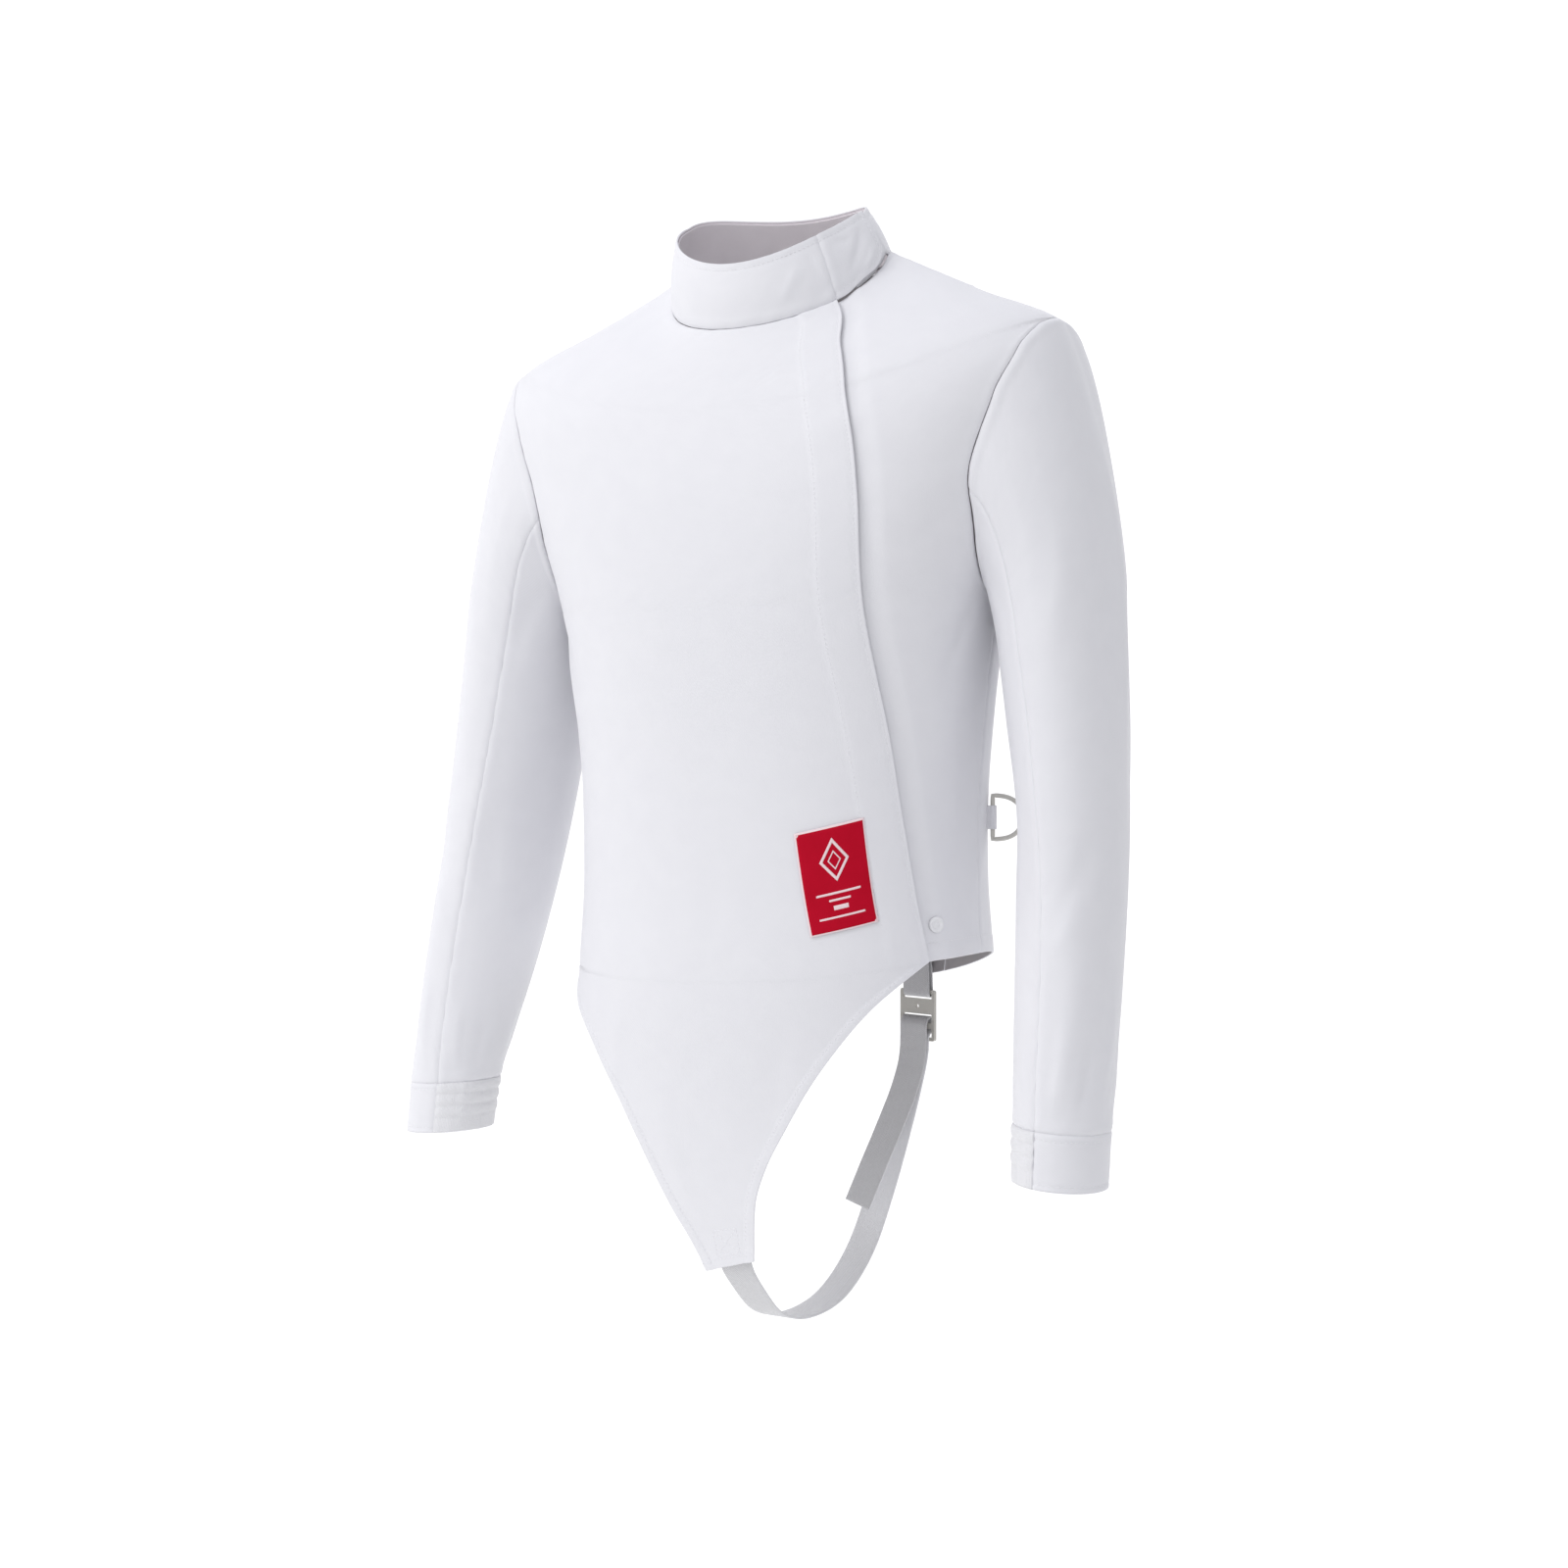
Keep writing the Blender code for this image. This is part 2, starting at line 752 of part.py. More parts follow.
def tab_low(angle):
    """The lower edge of the tab rises clear of the neck seam and is rounded at its end."""
    corner = max(angle - COLLAR_TAB_END + 9.0, 0.0) / 9.0
    return 0.08 * smooth_step((angle - 54.0) / 16.0) + 0.16 * corner * corner


def collar_grid(first, last, count, lift, low, rows=5, high=1.0, trim=0.0):
    """Points and normals of part of the collar, with lift and lower edge by angle."""
    grid = []
    normals = []
    for row in range(rows + 1):
        line = []
        normal_line = []
        for k in range(count + 1):
            angle = first + (last - first) * k / count
            angle = min(max(angle, first + trim), last - trim)
            share = low(angle) + (high - low(angle)) * row / rows
            normal = collar_normal(angle, share)
            line.append(collar_point(angle, share) + normal * lift(angle))
            normal_line.append(normal)
        grid.append(line)
        normals.append(normal_line)
    return grid, normals


def build_collar(materials):
    band, normals = collar_grid(COLLAR_UNDER_END, COLLAR_JOIN, 42, collar_tuck, lambda a: 0.0)
    band = shrink_border(band, normals, SEAM / 2)
    shell_object("collar", band, normals, CLOTH, materials["cloth"])
    form, normals = collar_grid(COLLAR_UNDER_END, COLLAR_JOIN, 42, collar_tuck,
                                lambda a: 0.06, high=0.97, trim=2.0)
    depth = CLOTH + SEAM
    lining = [[p - n * depth for p, n in zip(*pair)] for pair in zip(form, normals)]
    shell_object("collar_lining", lining, normals, LINING, materials["lining"])
    tab, normals = collar_grid(COLLAR_JOIN, COLLAR_TAB_END, 9, tab_lift, tab_low)
    tab = shrink_border(tab, normals, SEAM / 2)
    shell_object("collar_tab", tab, normals, CLOTH, materials["cloth"])


LABEL_CENTRE_ANGLE = 32.8
LABEL_LEVEL = 4.99
LABEL_WIDTH = 51.0 * MM
LABEL_HEIGHT = 80.0 * MM
LABEL_THICKNESS = 1.0 * MM
LABEL_TILT = -9.0


def surface_patch(centre, level, width, height, tilt, columns, rows, lift):
    """Grid of points that lies on the torso, with its normals."""
    point = torso_base(centre, level)
    side_step = torso_base(centre + 1, level) - point
    rise_step = torso_base(centre, level + 0.05) - point
    per_degree = side_step.length
    per_level = rise_step.length / 0.05
    lean = math.radians(tilt)
    grid = []
    normals = []
    for row in range(rows + 1):
        v = (row / rows - 0.5) * height
        line = []
        normal_line = []
        for column in range(columns + 1):
            u = (column / columns - 0.5) * width
            s = u * math.cos(lean) + v * math.sin(lean)
            r = -u * math.sin(lean) + v * math.cos(lean)
            angle = centre + s / per_degree
            high = level + r / per_level
            normal = torso_normal(angle, high)
            line.append(torso_point(angle, high) + normal * lift)
            normal_line.append(normal)
        grid.append(line)
        normals.append(normal_line)
    return grid, normals


def build_label(material):
    lift = LABEL_THICKNESS + SEAM
    grid, normals = surface_patch(LABEL_CENTRE_ANGLE, LABEL_LEVEL, LABEL_WIDTH, LABEL_HEIGHT,
                                  LABEL_TILT, 6, 8, lift)
    shell_object("label", grid, normals, LABEL_THICKNESS, material)


BUTTON_RADIUS = 6.0 * MM
BUTTON_ANGLE = 66.8
BUTTON_LEVEL = 4.42


def under_point(angle, level):
    """Outer face of the under front."""
    return torso_point(angle, level) - torso_normal(angle, level) * under_drop(angle, level)


def build_button(material):
    """Round snap with a raised rim and a shallow dish."""
    turn = (under_point(BUTTON_ANGLE + 2, BUTTON_LEVEL)
            - under_point(BUTTON_ANGLE - 2, BUTTON_LEVEL))
    climb = (under_point(BUTTON_ANGLE, BUTTON_LEVEL + 0.1)
             - under_point(BUTTON_ANGLE, BUTTON_LEVEL - 0.1))
    normal = turn.cross(climb).normalized()
    foot = under_point(BUTTON_ANGLE, BUTTON_LEVEL) + normal * SEAM
    side = Vector((0, 0, 1)).cross(normal).normalized()
    rise = normal.cross(side)
    profile = (
        # radius share, height in millimetres
        (1.0, 0.0),
        (1.0, 1.4),
        (0.86, 2.0),
        (0.7, 2.0),
        (0.55, 1.5),
    )
    sides = 28
    vertices = [foot]
    for share, height in profile:
        for k in range(sides):
            a = 2 * math.pi * k / sides
            flat = side * math.cos(a) + rise * math.sin(a)
            vertices.append(foot + flat * BUTTON_RADIUS * share + normal * height * MM)
    vertices.append(foot + normal * 1.5 * MM)
    faces = []
    for k in range(sides):
        after = (k + 1) % sides
        faces.append((0, 1 + after, 1 + k))
        for ring in range(len(profile) - 1):
            a = 1 + ring * sides
            b = a + sides
            faces.append((a + k, a + after, b + after, b + k))
        top = 1 + (len(profile) - 1) * sides
        faces.append((top + k, top + after, len(vertices) - 1))
    return build_object("button", vertices, faces, material)


def curve_points(points, count):
    """Evenly spaced points on a smooth curve through the given points."""
    dense = []
    for index in range(len(points) - 1):
        p0 = points[max(index - 1, 0)]
        p1 = points[index]
        p2 = points[index + 1]
        p3 = points[min(index + 2, len(points) - 1)]
        for k in range(12):
            u = k / 12
            dense.append(0.5 * (2 * p1 + (p2 - p0) * u + (2 * p0 - 5 * p1 + 4 * p2 - p3) * u * u
                                + (3 * p1 - 3 * p2 + p3 - p0) * u ** 3))
    dense.append(points[-1])
    lengths = [0.0]
    for a, b in zip(dense, dense[1:]):
        lengths.append(lengths[-1] + (b - a).length)
    out = []
    place = 0
    for k in range(count + 1):
        wanted = lengths[-1] * k / count
        while place < len(dense) - 2 and lengths[place + 1] < wanted:
            place += 1
        step = lengths[place + 1] - lengths[place]
        out.append(dense[place].lerp(dense[place + 1], (wanted - lengths[place]) / step))
    return out


def buckle_across():
    return Vector((math.cos(BUCKLE_TURN), math.sin(BUCKLE_TURN), 0))


def at_buckle(x, depth, height):
    """Point in the buckle's own frame, in millimetres, turned to the back hem."""
    across = buckle_across()
    out = Vector((-across.y, across.x, 0))
    return BUCKLE_CENTRE + (across * x + out * depth + Vector((0, 0, height))) * MM


def ribbon_object(name, centre, width, thickness, first_across, last_across, material):
    """Flat webbing along a centre line, with its width held near the given directions."""
    rings = []
    turn_end = len(centre) * 0.4
    for index, point in enumerate(centre):
        before = centre[max(index - 1, 0)]
        after = centre[min(index + 1, len(centre) - 1)]
        along = (after - before).normalized()
        across = first_across.lerp(last_across, smooth_step(index / turn_end))
        wide = (across - along * across.dot(along)).normalized()
        thin = along.cross(wide)
        ring = []
        for a, b in ((-1, -1), (1, -1), (1, 1), (-1, 1)):
            ring.append(point + wide * a * width / 2 + thin * b * thickness / 2)
        rings.append(ring)
    vertices = [p for ring in rings for p in ring]
    faces = [(3, 2, 1, 0)]
    for index in range(len(rings) - 1):
        base = index * 4
        for k in range(4):
            after = (k + 1) % 4
            faces.append((base + k, base + after, base + 4 + after, base + 4 + k))
    end = (len(rings) - 1) * 4
    faces.append((end, end + 1, end + 2, end + 3))
    return build_object(name, vertices, faces, material)


def build_strap(material):
    """Webbing from the tab, under the body, through the buckle and down as a free tail."""
    low = [Vector(row) * MM for row in STRAP_PATH]
    wrap = [at_buckle(0, depth, height) for depth, height in STRAP_WRAP]
    tail = [at_buckle(*row) for row in TAIL_PATH]
    centre = curve_points(low + wrap[:1], 44)[:-1] + curve_points(wrap, 40)
    centre += curve_points(wrap[-1:] + tail, 20)[1:]
    return ribbon_object("crotch_strap", centre, STRAP_WIDTH, WEBBING, Vector((1, 0, 0)),
                         buckle_across(), material)


def extrude_frame(name, outline, holes, depth, place, material):
    """Flat plate in the XZ plane made of an outline with rectangular holes."""
    mesh = bpy.data.meshes.new(name)
    work = bmesh.new()
    loops = []
    for loop in [outline] + holes:
        verts = [work.verts.new((x * MM, -depth / 2, z * MM)) for x, z in loop]
        edges = [work.edges.new((verts[k], verts[(k + 1) % len(verts)]))
                 for k in range(len(verts))]
        loops += edges
    bmesh.ops.triangle_fill(work, edges=loops, use_beauty=True)
    flat = bmesh.ops.extrude_face_region(work, geom=list(work.faces))
    moved = [e for e in flat["geom"] if isinstance(e, bmesh.types.BMVert)]
    bmesh.ops.translate(work, verts=moved, vec=(0, depth, 0))
    for vertex in work.verts:
        vertex.co = place(vertex.co.x / MM, vertex.co.y / MM, vertex.co.z / MM)
    bmesh.ops.triangulate(work, faces=work.faces)
    bmesh.ops.recalc_face_normals(work, faces=work.faces)
    work.to_mesh(mesh)
    work.free()
    item = bpy.data.objects.new(name, mesh)
    bpy.context.scene.collection.objects.link(item)
    item.data.materials.append(material)
    return item


def rectangle(low_x, high_x, low_z, high_z):
    return [(low_x, low_z), (high_x, low_z), (high_x, high_z), (low_x, high_z)]


def rounded_rectangle(low_x, high_x, low_z, high_z, radius, steps=4):
    points = []
    corners = (
        # x, z, start angle
        (high_x - radius, high_z - radius, 0),
        (low_x + radius, high_z - radius, 90),
        (low_x + radius, low_z + radius, 180),
        (high_x - radius, low_z + radius, 270),
    )
    for x, z, start in corners:
        for k in range(steps + 1):
            a = math.radians(start + 90 * k / steps)
            points.append((x + radius * math.cos(a), z + radius * math.sin(a)))
    return points


def circle(x, z, radius, sides):
    return [(x + radius * math.cos(2 * math.pi * k / sides),
             z + radius * math.sin(2 * math.pi * k / sides)) for k in range(sides)]


def build_buckle(material):
    outline = rounded_rectangle(-19, 19, -20.5, 22, 2.5)
    holes = [
        rectangle(-15.8, 15.8, -17.5, -10.2),
        rectangle(-15.8, 15.8, -5.4, 1.6),
        rectangle(-15.8, 15.8, 14.4, 18.8),
        circle(0, 8.0, 1.7, 16),
    ]
    return extrude_frame("buckle", outline, holes, 2.6 * MM, at_buckle, material)


def build_buckle_loop(material):
    """Webbing loop from the inside of the back hem through the top slot of the buckle."""
    path = (
        # depth, height from the buckle centre
        (-4.6, 60),
        (-3.0, 42),
        (-2.4, 26),
        (-2.3, 20),
        (-1.7, 17.2),
        (0.0, 16.4),
        (1.7, 17.2),
        (2.3, 20),
        (2.0, 26),
        (1.0, 42),
        (-2.4, 60),
    )
    points = [at_buckle(0, depth, height) for depth, height in path]
    centre = curve_points(points, 44)
    wide = buckle_across()
    return ribbon_object("buckle_loop", centre, STRAP_WIDTH, 1.2 * MM, wide, wide, material)


D_RING_WIRE = 1.8 * MM
D_RING_HALF = 17.0 * MM
D_RING_REACH = 24.0 * MM
D_RING_ANGLE = 100.0
D_RING_LEVEL = 5.45
D_RING_BORE = D_RING_WIRE + 0.35 * MM
D_RING_WALL = 1.4 * MM
D_RING_STAND = 1.2 * MM
D_RING_LOOP_HALF = 9.0 * MM
D_RING_LOOP_GAP = 0.6 * MM
NECK_SHARE = 0.85


def d_ring_centre():
    """Middle of the straight bar, just clear of the cloth at the side."""
    normal = torso_normal(D_RING_ANGLE, D_RING_LEVEL)
    normal.z = 0
    normal.normalize()
    out = D_RING_BORE + D_RING_WALL + D_RING_STAND
    return torso_point(D_RING_ANGLE, D_RING_LEVEL) + normal * out, normal


def build_d_ring(material):
    """Closed D of round wire with its straight bar upright at the side seam."""
    points = []
    straight = 8
    for k in range(straight):
        z = -D_RING_HALF + 2 * D_RING_HALF * k / straight
        points.append(Vector((0, 0, z)))
    curve = 20
    for k in range(curve + 1):
        a = math.pi / 2 - math.pi * k / curve
        x = D_RING_REACH * abs(math.cos(a)) ** 0.8
        z = D_RING_HALF * math.copysign(abs(math.sin(a)) ** 0.8, math.sin(a))
        if k in (0, curve):
            x = 0.0
        points.append(Vector((x, 0, z)))
    loop = []
    for point in points:
        if not loop or (point - loop[-1]).length > 1e-6:
            loop.append(point)
    if (loop[0] - loop[-1]).length < 1e-6:
        loop.pop()
    sides = 8
    vertices = []
    faces = []
    count = len(loop)
    middle, normal = d_ring_centre()
    for index, point in enumerate(loop):
        along = (loop[(index + 1) % count] - loop[index - 1]).normalized()
        thin = Vector((0, 1, 0))
        wide = along.cross(thin)
        for k in range(sides):
            a = 2 * math.pi * k / sides
            flat = wide * math.cos(a) + thin * math.sin(a)
            vertices.append(middle + point + flat * D_RING_WIRE)
    for index in range(count):
        a = index * sides
        b = ((index + 1) % count) * sides
        for k in range(sides):
            after = (k + 1) % sides
            faces.append((a + k, a + after, b + after, b + k))
    return build_object("d_ring", vertices, faces, material)


def build_d_ring_loop(material):
    """Sewn loop round the straight bar, joined to a flat foot against the side."""
    middle, normal = d_ring_centre()
    height = D_RING_LOOP_HALF
    reach = D_RING_BORE + D_RING_WALL + D_RING_STAND - D_RING_LOOP_GAP
    base_angle = math.atan2(-normal.y, -normal.x)
    outer = D_RING_BORE + D_RING_WALL
    outline = []
    sides = 24
    neck = math.asin(NECK_SHARE)
    for k in range(sides + 1):
        a = base_angle + neck + (2 * math.pi - 2 * neck) * k / sides
        outline.append(Vector((math.cos(a), math.sin(a), 0)) * outer)
    side = Vector((-math.sin(base_angle), math.cos(base_angle), 0))
    ahead = Vector((math.cos(base_angle), math.sin(base_angle), 0))
    outline.append(ahead * reach - side * outer * NECK_SHARE)
    outline.append(ahead * reach + side * outer * NECK_SHARE)
    mesh = bpy.data.meshes.new("d_ring_loop")
    work = bmesh.new()
    edges = []
    hole = [Vector((math.cos(2 * math.pi * k / sides), math.sin(2 * math.pi * k / sides), 0))
            * D_RING_BORE for k in range(sides)]
    for loop in (outline, hole):
        verts = [work.verts.new(middle + p + Vector((0, 0, -height))) for p in loop]
        edges += [work.edges.new((verts[k], verts[(k + 1) % len(verts)]))
                  for k in range(len(verts))]
    bmesh.ops.triangle_fill(work, edges=edges, use_beauty=True)
    flat = bmesh.ops.extrude_face_region(work, geom=list(work.faces))
    moved = [e for e in flat["geom"] if isinstance(e, bmesh.types.BMVert)]
    bmesh.ops.translate(work, verts=moved, vec=(0, 0, 2 * height))
    bmesh.ops.triangulate(work, faces=work.faces)
    bmesh.ops.recalc_face_normals(work, faces=work.faces)
    work.to_mesh(mesh)
    work.free()
    item = bpy.data.objects.new("d_ring_loop", mesh)
    bpy.context.scene.collection.objects.link(item)
    item.data.materials.append(material)
    return item


def main():
    for item in list(bpy.data.objects):
        bpy.data.objects.remove(item, do_unlink=True)
    materials = {
        "cloth": make_material("white_cloth", (0.86, 0.86, 0.89), 0.75),
        "elastic": make_material("white_elastic", (0.84, 0.84, 0.86), 0.85),
        "lining": make_material("grey_lining", (0.52, 0.48, 0.52), 0.85),
        "label": make_material("red_label", (0.5, 0.005, 0.03), 0.7),
        "webbing": make_material("grey_webbing", (0.60, 0.60, 0.63), 0.8),
        "plastic": make_material("ivory_plastic", (0.74, 0.74, 0.71), 0.45),
        "snap": make_material("white_snap", (0.8, 0.8, 0.82), 0.4),
    }
    build_front(materials["cloth"])
    build_under_front(materials["cloth"])
    build_back(materials["cloth"])
    build_back_side("back_side_left", 1, materials["cloth"])
    build_back_side("back_side_right", -1, materials["cloth"])
    build_sleeve(1, "left", materials)
    build_sleeve(-1, "right", materials)
    build_collar(materials)
    build_label(materials["label"])
    build_button(materials["snap"])
    build_strap(materials["webbing"])
    build_buckle(materials["plastic"])
    build_buckle_loop(materials["webbing"])
    build_d_ring(materials["plastic"])
    build_d_ring_loop(materials["cloth"])


main()
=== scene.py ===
"""Looks of the fencing jacket: cloth shells, sewing, webbing and plastic on the fixed CAD frame.

Axes: +X is the wearer's left, -Y is the front, +Z is up, in metres.
The torso surface, the sleeve tube and the collar follow the same tables as the solids.
"""
import math

import bmesh
import bpy
import numpy as np
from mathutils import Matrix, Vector


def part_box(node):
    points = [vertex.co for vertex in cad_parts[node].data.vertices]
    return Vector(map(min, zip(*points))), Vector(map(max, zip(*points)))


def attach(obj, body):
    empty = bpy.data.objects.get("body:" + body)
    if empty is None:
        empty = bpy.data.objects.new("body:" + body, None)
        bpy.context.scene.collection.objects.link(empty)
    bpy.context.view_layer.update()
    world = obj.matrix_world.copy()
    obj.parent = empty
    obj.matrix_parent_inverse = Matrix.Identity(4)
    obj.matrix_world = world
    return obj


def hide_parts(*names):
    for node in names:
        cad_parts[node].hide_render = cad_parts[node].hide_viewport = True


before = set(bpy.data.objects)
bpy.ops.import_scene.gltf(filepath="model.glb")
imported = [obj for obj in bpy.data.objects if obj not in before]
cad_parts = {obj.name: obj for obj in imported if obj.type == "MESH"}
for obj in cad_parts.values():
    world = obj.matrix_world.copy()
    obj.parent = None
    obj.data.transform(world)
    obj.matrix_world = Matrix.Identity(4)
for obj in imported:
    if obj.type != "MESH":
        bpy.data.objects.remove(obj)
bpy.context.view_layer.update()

MM = 0.001
CLOTH = 1.7 * MM
JACKET = "jacket"
HEM_T = 4.0
ARMPIT_T = 7.0
SHOULDER_T = 9.3
PRINCESS_T = 10.1
NECK_T = 11.0
RING_FALL = 2.0
NECK_FALL = 0.8
NECK_FALL_FROM = 9.4
LAP_WIDTH = 36.0
LAP_DROP = 2.8
PANEL_STEP = 3.2
EDGE_STEPS = (0.0, 0.45, 1.1, 2.0, 3.2, 5.0, 7.4, 10.0)

# Torso rings, from the tab to the neck, in millimetres.
TORSO_RINGS = (
    # level, front, side, back, half, y_front, y_back, power, turn, tilt
    (0.0, -790, -790, -790, 172, -87, 112, 2.2, -0.22, 0.30),
    (1.0, -740, -740, -740, 172, -104, 114, 2.2, -0.12, 0.14),
    (2.0, -684, -684, -684, 172, -117, 116, 2.2, -0.04, 0.05),
    (3.0, -624, -616, -637, 171, -124, 120, 2.3, 0.0, 0.04),
    (4.0, -568, -556, -587, 170, -126, 124, 2.3, 0.0, 0.04),
    (5.0, -498, -486, -500, 167, -122, 113, 2.3, 0.0, 0.02),
    (6.0, -400, -394, -396, 171, -122, 104, 2.3, 0.0, 0.0),
    (7.0, -290, -280, -276, 186, -128, 114, 2.3, 0.0, 0.0),
    (8.0, -210, -174, -178, 224, -124, 115, 2.3, 0.0, 0.0),
    (9.0, -146, -86, -100, 250, -112, 104, 2.2, 0.0, 0.0),
    (10.0, -103, -39, -40, 168, -96, 87, 2.1, 0.0, 0.0),
    (11.0, -68, -1, -3, 93, -80, 68, 2.0, 0.0, 0.0),
)
ARMHOLE = (
    # level, degrees to the front, degrees to the back
    (7.0, 0, 0),
    (7.15, 14, 13),
    (7.5, 25, 22),
    (8.0, 34, 27),
    (8.6, 35, 25),
    (9.0, 29, 19),
    (9.2, 18, 10.5),
    (9.3, 0, 0),
)
CLOSING = (
    # level, degrees from the front centre
    (4.0, 63),
    (5.0, 57),
    (6.0, 48.5),
    (7.0, 36.5),
    (8.0, 28),
    (9.0, 22.5),
    (10.0, 31),
    (11.0, 50),
)
PRINCESS = (
    # level, left and right in degrees from the back centre
    (4.0, 31, 33.5),
    (5.0, 36.5, 37.5),
    (6.0, 43, 39.5),
    (7.0, 44.5, 39.5),
    (8.0, 39, 36.5),
    (9.0, 38.5, 37.5),
    (9.5, 49.5, 49),
    (9.8, 61, 61),
    (10.0, 73, 73),
    (10.1, 90, 90),
)
TONGUE = (
    # level, right edge, left edge in millimetres
    (0.0, -26, 21),
    (0.5, -36, 25),
    (1.0, -50, 30),
    (1.5, -64, 41),
    (2.0, -79, 57),
    (2.5, -96, 75),
    (3.0, -119, 97),
    (3.5, -147, 121),
    (4.0, -170, 150),
)
SLEEVE_RINGS = (
    # reach, x, y, z, half_x, half_y, twist, tilt
    (0.30, 238, -4, -294, 46.5, 69, 2, 26),
    (0.46, 247, -12, -392, 44, 65, 7, 12),
    (0.60, 253, -26, -474, 41.5, 60, 11, 4),
    (0.76, 258, -49, -560, 39, 53, 12, 0),
    (0.90, 262, -71, -630, 36.5, 44, 10, -2),
    (1.00, 264, -81, -664, 35, 38, 8, -2),
    (1.10, 265, -88, -703, 34, 36.5, 7, -2),
)
BACK_SEAM_DRIFT = (
    # reach, degrees
    (0.30, -14),
    (0.46, -6),
    (0.60, 7),
    (0.76, 16),
    (1.00, 24),
)
BACK_SEAM_SPREAD = 70.0
FRONT_SEAM_ANGLE = 112.0
BACK_SEAM_ANGLE = -72.0

# Large folds that the solids have too: angle, level, spread, reach, lean, height.
BROAD_FOLDS = (
    (-128, 6.9, 7, 0.9, -14, 2.2),
    (-140, 6.5, 8, 0.9, -14, -2.0),
    (-116, 6.0, 8, 0.8, -10, 1.6),
    (132, 6.6, 9, 0.9, 12, 1.6),
    (-70, 6.6, 9, 0.8, 10, 1.4),
    (64, 6.4, 9, 0.7, -10, 1.2),
    (-60, 3.4, 12, 0.7, 10, 1.2),
    (178, 4.3, 16, 0.6, 0, 1.6),
)
# Soft creases of the body, each from one point to another.
BODY_CREASES = (
    # angle, height, end angle, end height, width, rise, bow
    (-137, -170, -124, -300, 9, -3.2, 6),
    (-131, -160, -118, -290, 7, 2.6, 6),
    (-145, -190, -131, -330, 10, 2.2, 8),
    (-126, -150, -114, -262, 6, -2.4, 4),
    (-140, -250, -128, -400, 12, -2.2, 8),
    (-120, -330, -135, -440, 14, 2.1, -6),
    (134, -170, 122, -300, 9, -2.3, -6),
    (128, -160, 117, -290, 7, 1.9, -6),
    (142, -210, 130, -360, 12, 1.7, -8),
    (-74, -255, -52, -330, 9, -1.4, 8),
    (-72, -290, -48, -385, 12, 1.2, 8),
    (-84, -330, -58, -440, 13, -1.0, 8),
    (78, -262, 62, -350, 9, -1.3, -6),
    (80, -310, 60, -410, 12, 1.1, -8),
    (66, -190, 46, -250, 12, -0.8, 4),
    (-66, -190, -44, -240, 13, -0.8, -4),
    (-100, -400, -84, -520, 12, 1.1, 6),
    (100, -410, 86, -520, 12, 1.0, -6),
    (-20, -560, -34, -680, 14, 0.9, 6),
    (18, -580, 8, -720, 11, -0.8, -5),
    (-14, -640, -6, -770, 10, 0.8, 4),
    (170, -500, 160, -585, 14, -0.9, 4),
    (-168, -470, -172, -585, 16, 1.0, 3),
    (150, -480, 156, -580, 11, 0.9, -3),
    (-150, -470, -148, -585, 11, -1.0, 3),
    (10, -170, 30, -132, 12, 0.7, 4),
    (-12, -150, -34, -120, 14, 0.6, 4),
    (176, -60, 150, -46, 12, -0.6, 4),
)
# Soft creases of a sleeve. Angle 0 faces out, 90 faces the front.
SLEEVE_CREASES = (
    # angle, height, end angle, end height, width, rise, bow
    (8, -120, 20, -420, 9, 2.5, 8),
    (-14, -130, -2, -470, 8, -3.2, -7),
    (-34, -150, -22, -520, 9, 2.8, 8),
    (28, -160, 44, -380, 10, -1.5, 6),
    (-52, -200, -44, -440, 9, -2.4, 6),
    (62, -210, 88, -330, 10, 1.1, 8),
    (150, -240, 120, -330, 9, -1.2, 8),
    (-150, -250, -120, -330, 9, 1.9, 8),
    (60, -440, 96, -520, 12, -1.4, 8),
    (70, -480, 110, -550, 10, 1.2, 8),
    (-60, -430, -90, -540, 13, 2.0, 8),
    (130, -430, 150, -540, 11, -1.3, 5),
    (20, -560, 34, -655, 8, 1.3, 4),
    (-6, -580, 4, -658, 7, -1.2, 4),
    (52, -590, 62, -658, 7, -1.2, 3),
    (84, -575, 92, -658, 8, 1.2, 4),
    (-36, -590, -30, -658, 8, 1.1, 3),
    (130, -590, 136, -658, 7, 1.2, 3),
    (165, -600, 160, -658, 7, -1.1, 3),
    (-110, -590, -116, -658, 8, 1.2, 3),
    (-140, -600, -146, -658, 7, -1.1, 3),
)
TORSO_MM_PER_DEGREE = 2.65
SLEEVE_MM_PER_DEGREE = 0.95


def row_slopes(keys, values, even):
    """Slopes at the rows of a table. An even slope is the mean of both sides."""
    steps = np.diff(values) / np.diff(keys)
    slopes = np.empty(len(values))
    slopes[0] = steps[0]
    slopes[-1] = steps[-1]
    before, after = steps[:-1], steps[1:]
    if even:
        slopes[1:-1] = (before + after) / 2
        return slopes
    product = before * after
    total = np.where(before + after == 0, 1.0, before + after)
    slopes[1:-1] = np.where(product > 0, 2 * product / total, 0.0)
    return slopes


def interpolate(table, key, column, even=False):
    """Smooth value of one column at every key."""
    rows = np.array(table, dtype=float)
    keys, values = rows[:, 0], rows[:, column]
    slopes = row_slopes(keys, values, even)
    key = np.clip(key, keys[0], keys[-1])
    place = np.clip(np.searchsorted(keys, key, side="right") - 1, 0, len(keys) - 2)
    width = keys[place + 1] - keys[place]
    u = (key - keys[place]) / width
    start = (1 + 2 * u) * (1 - u) ** 2 * values[place] + u * (1 - u) ** 2 * slopes[place] * width
    end = u * u * (3 - 2 * u) * values[place + 1] + u * u * (u - 1) * slopes[place + 1] * width
    return start + end


def smooth_step(value):
    value = np.clip(value, 0.0, 1.0)
    return value * value * (3 - 2 * value)


def signed_power(value, power):
    return np.sign(value) * np.abs(value) ** power


def wrap(angle):
    return (angle + 180.0) % 360.0 - 180.0


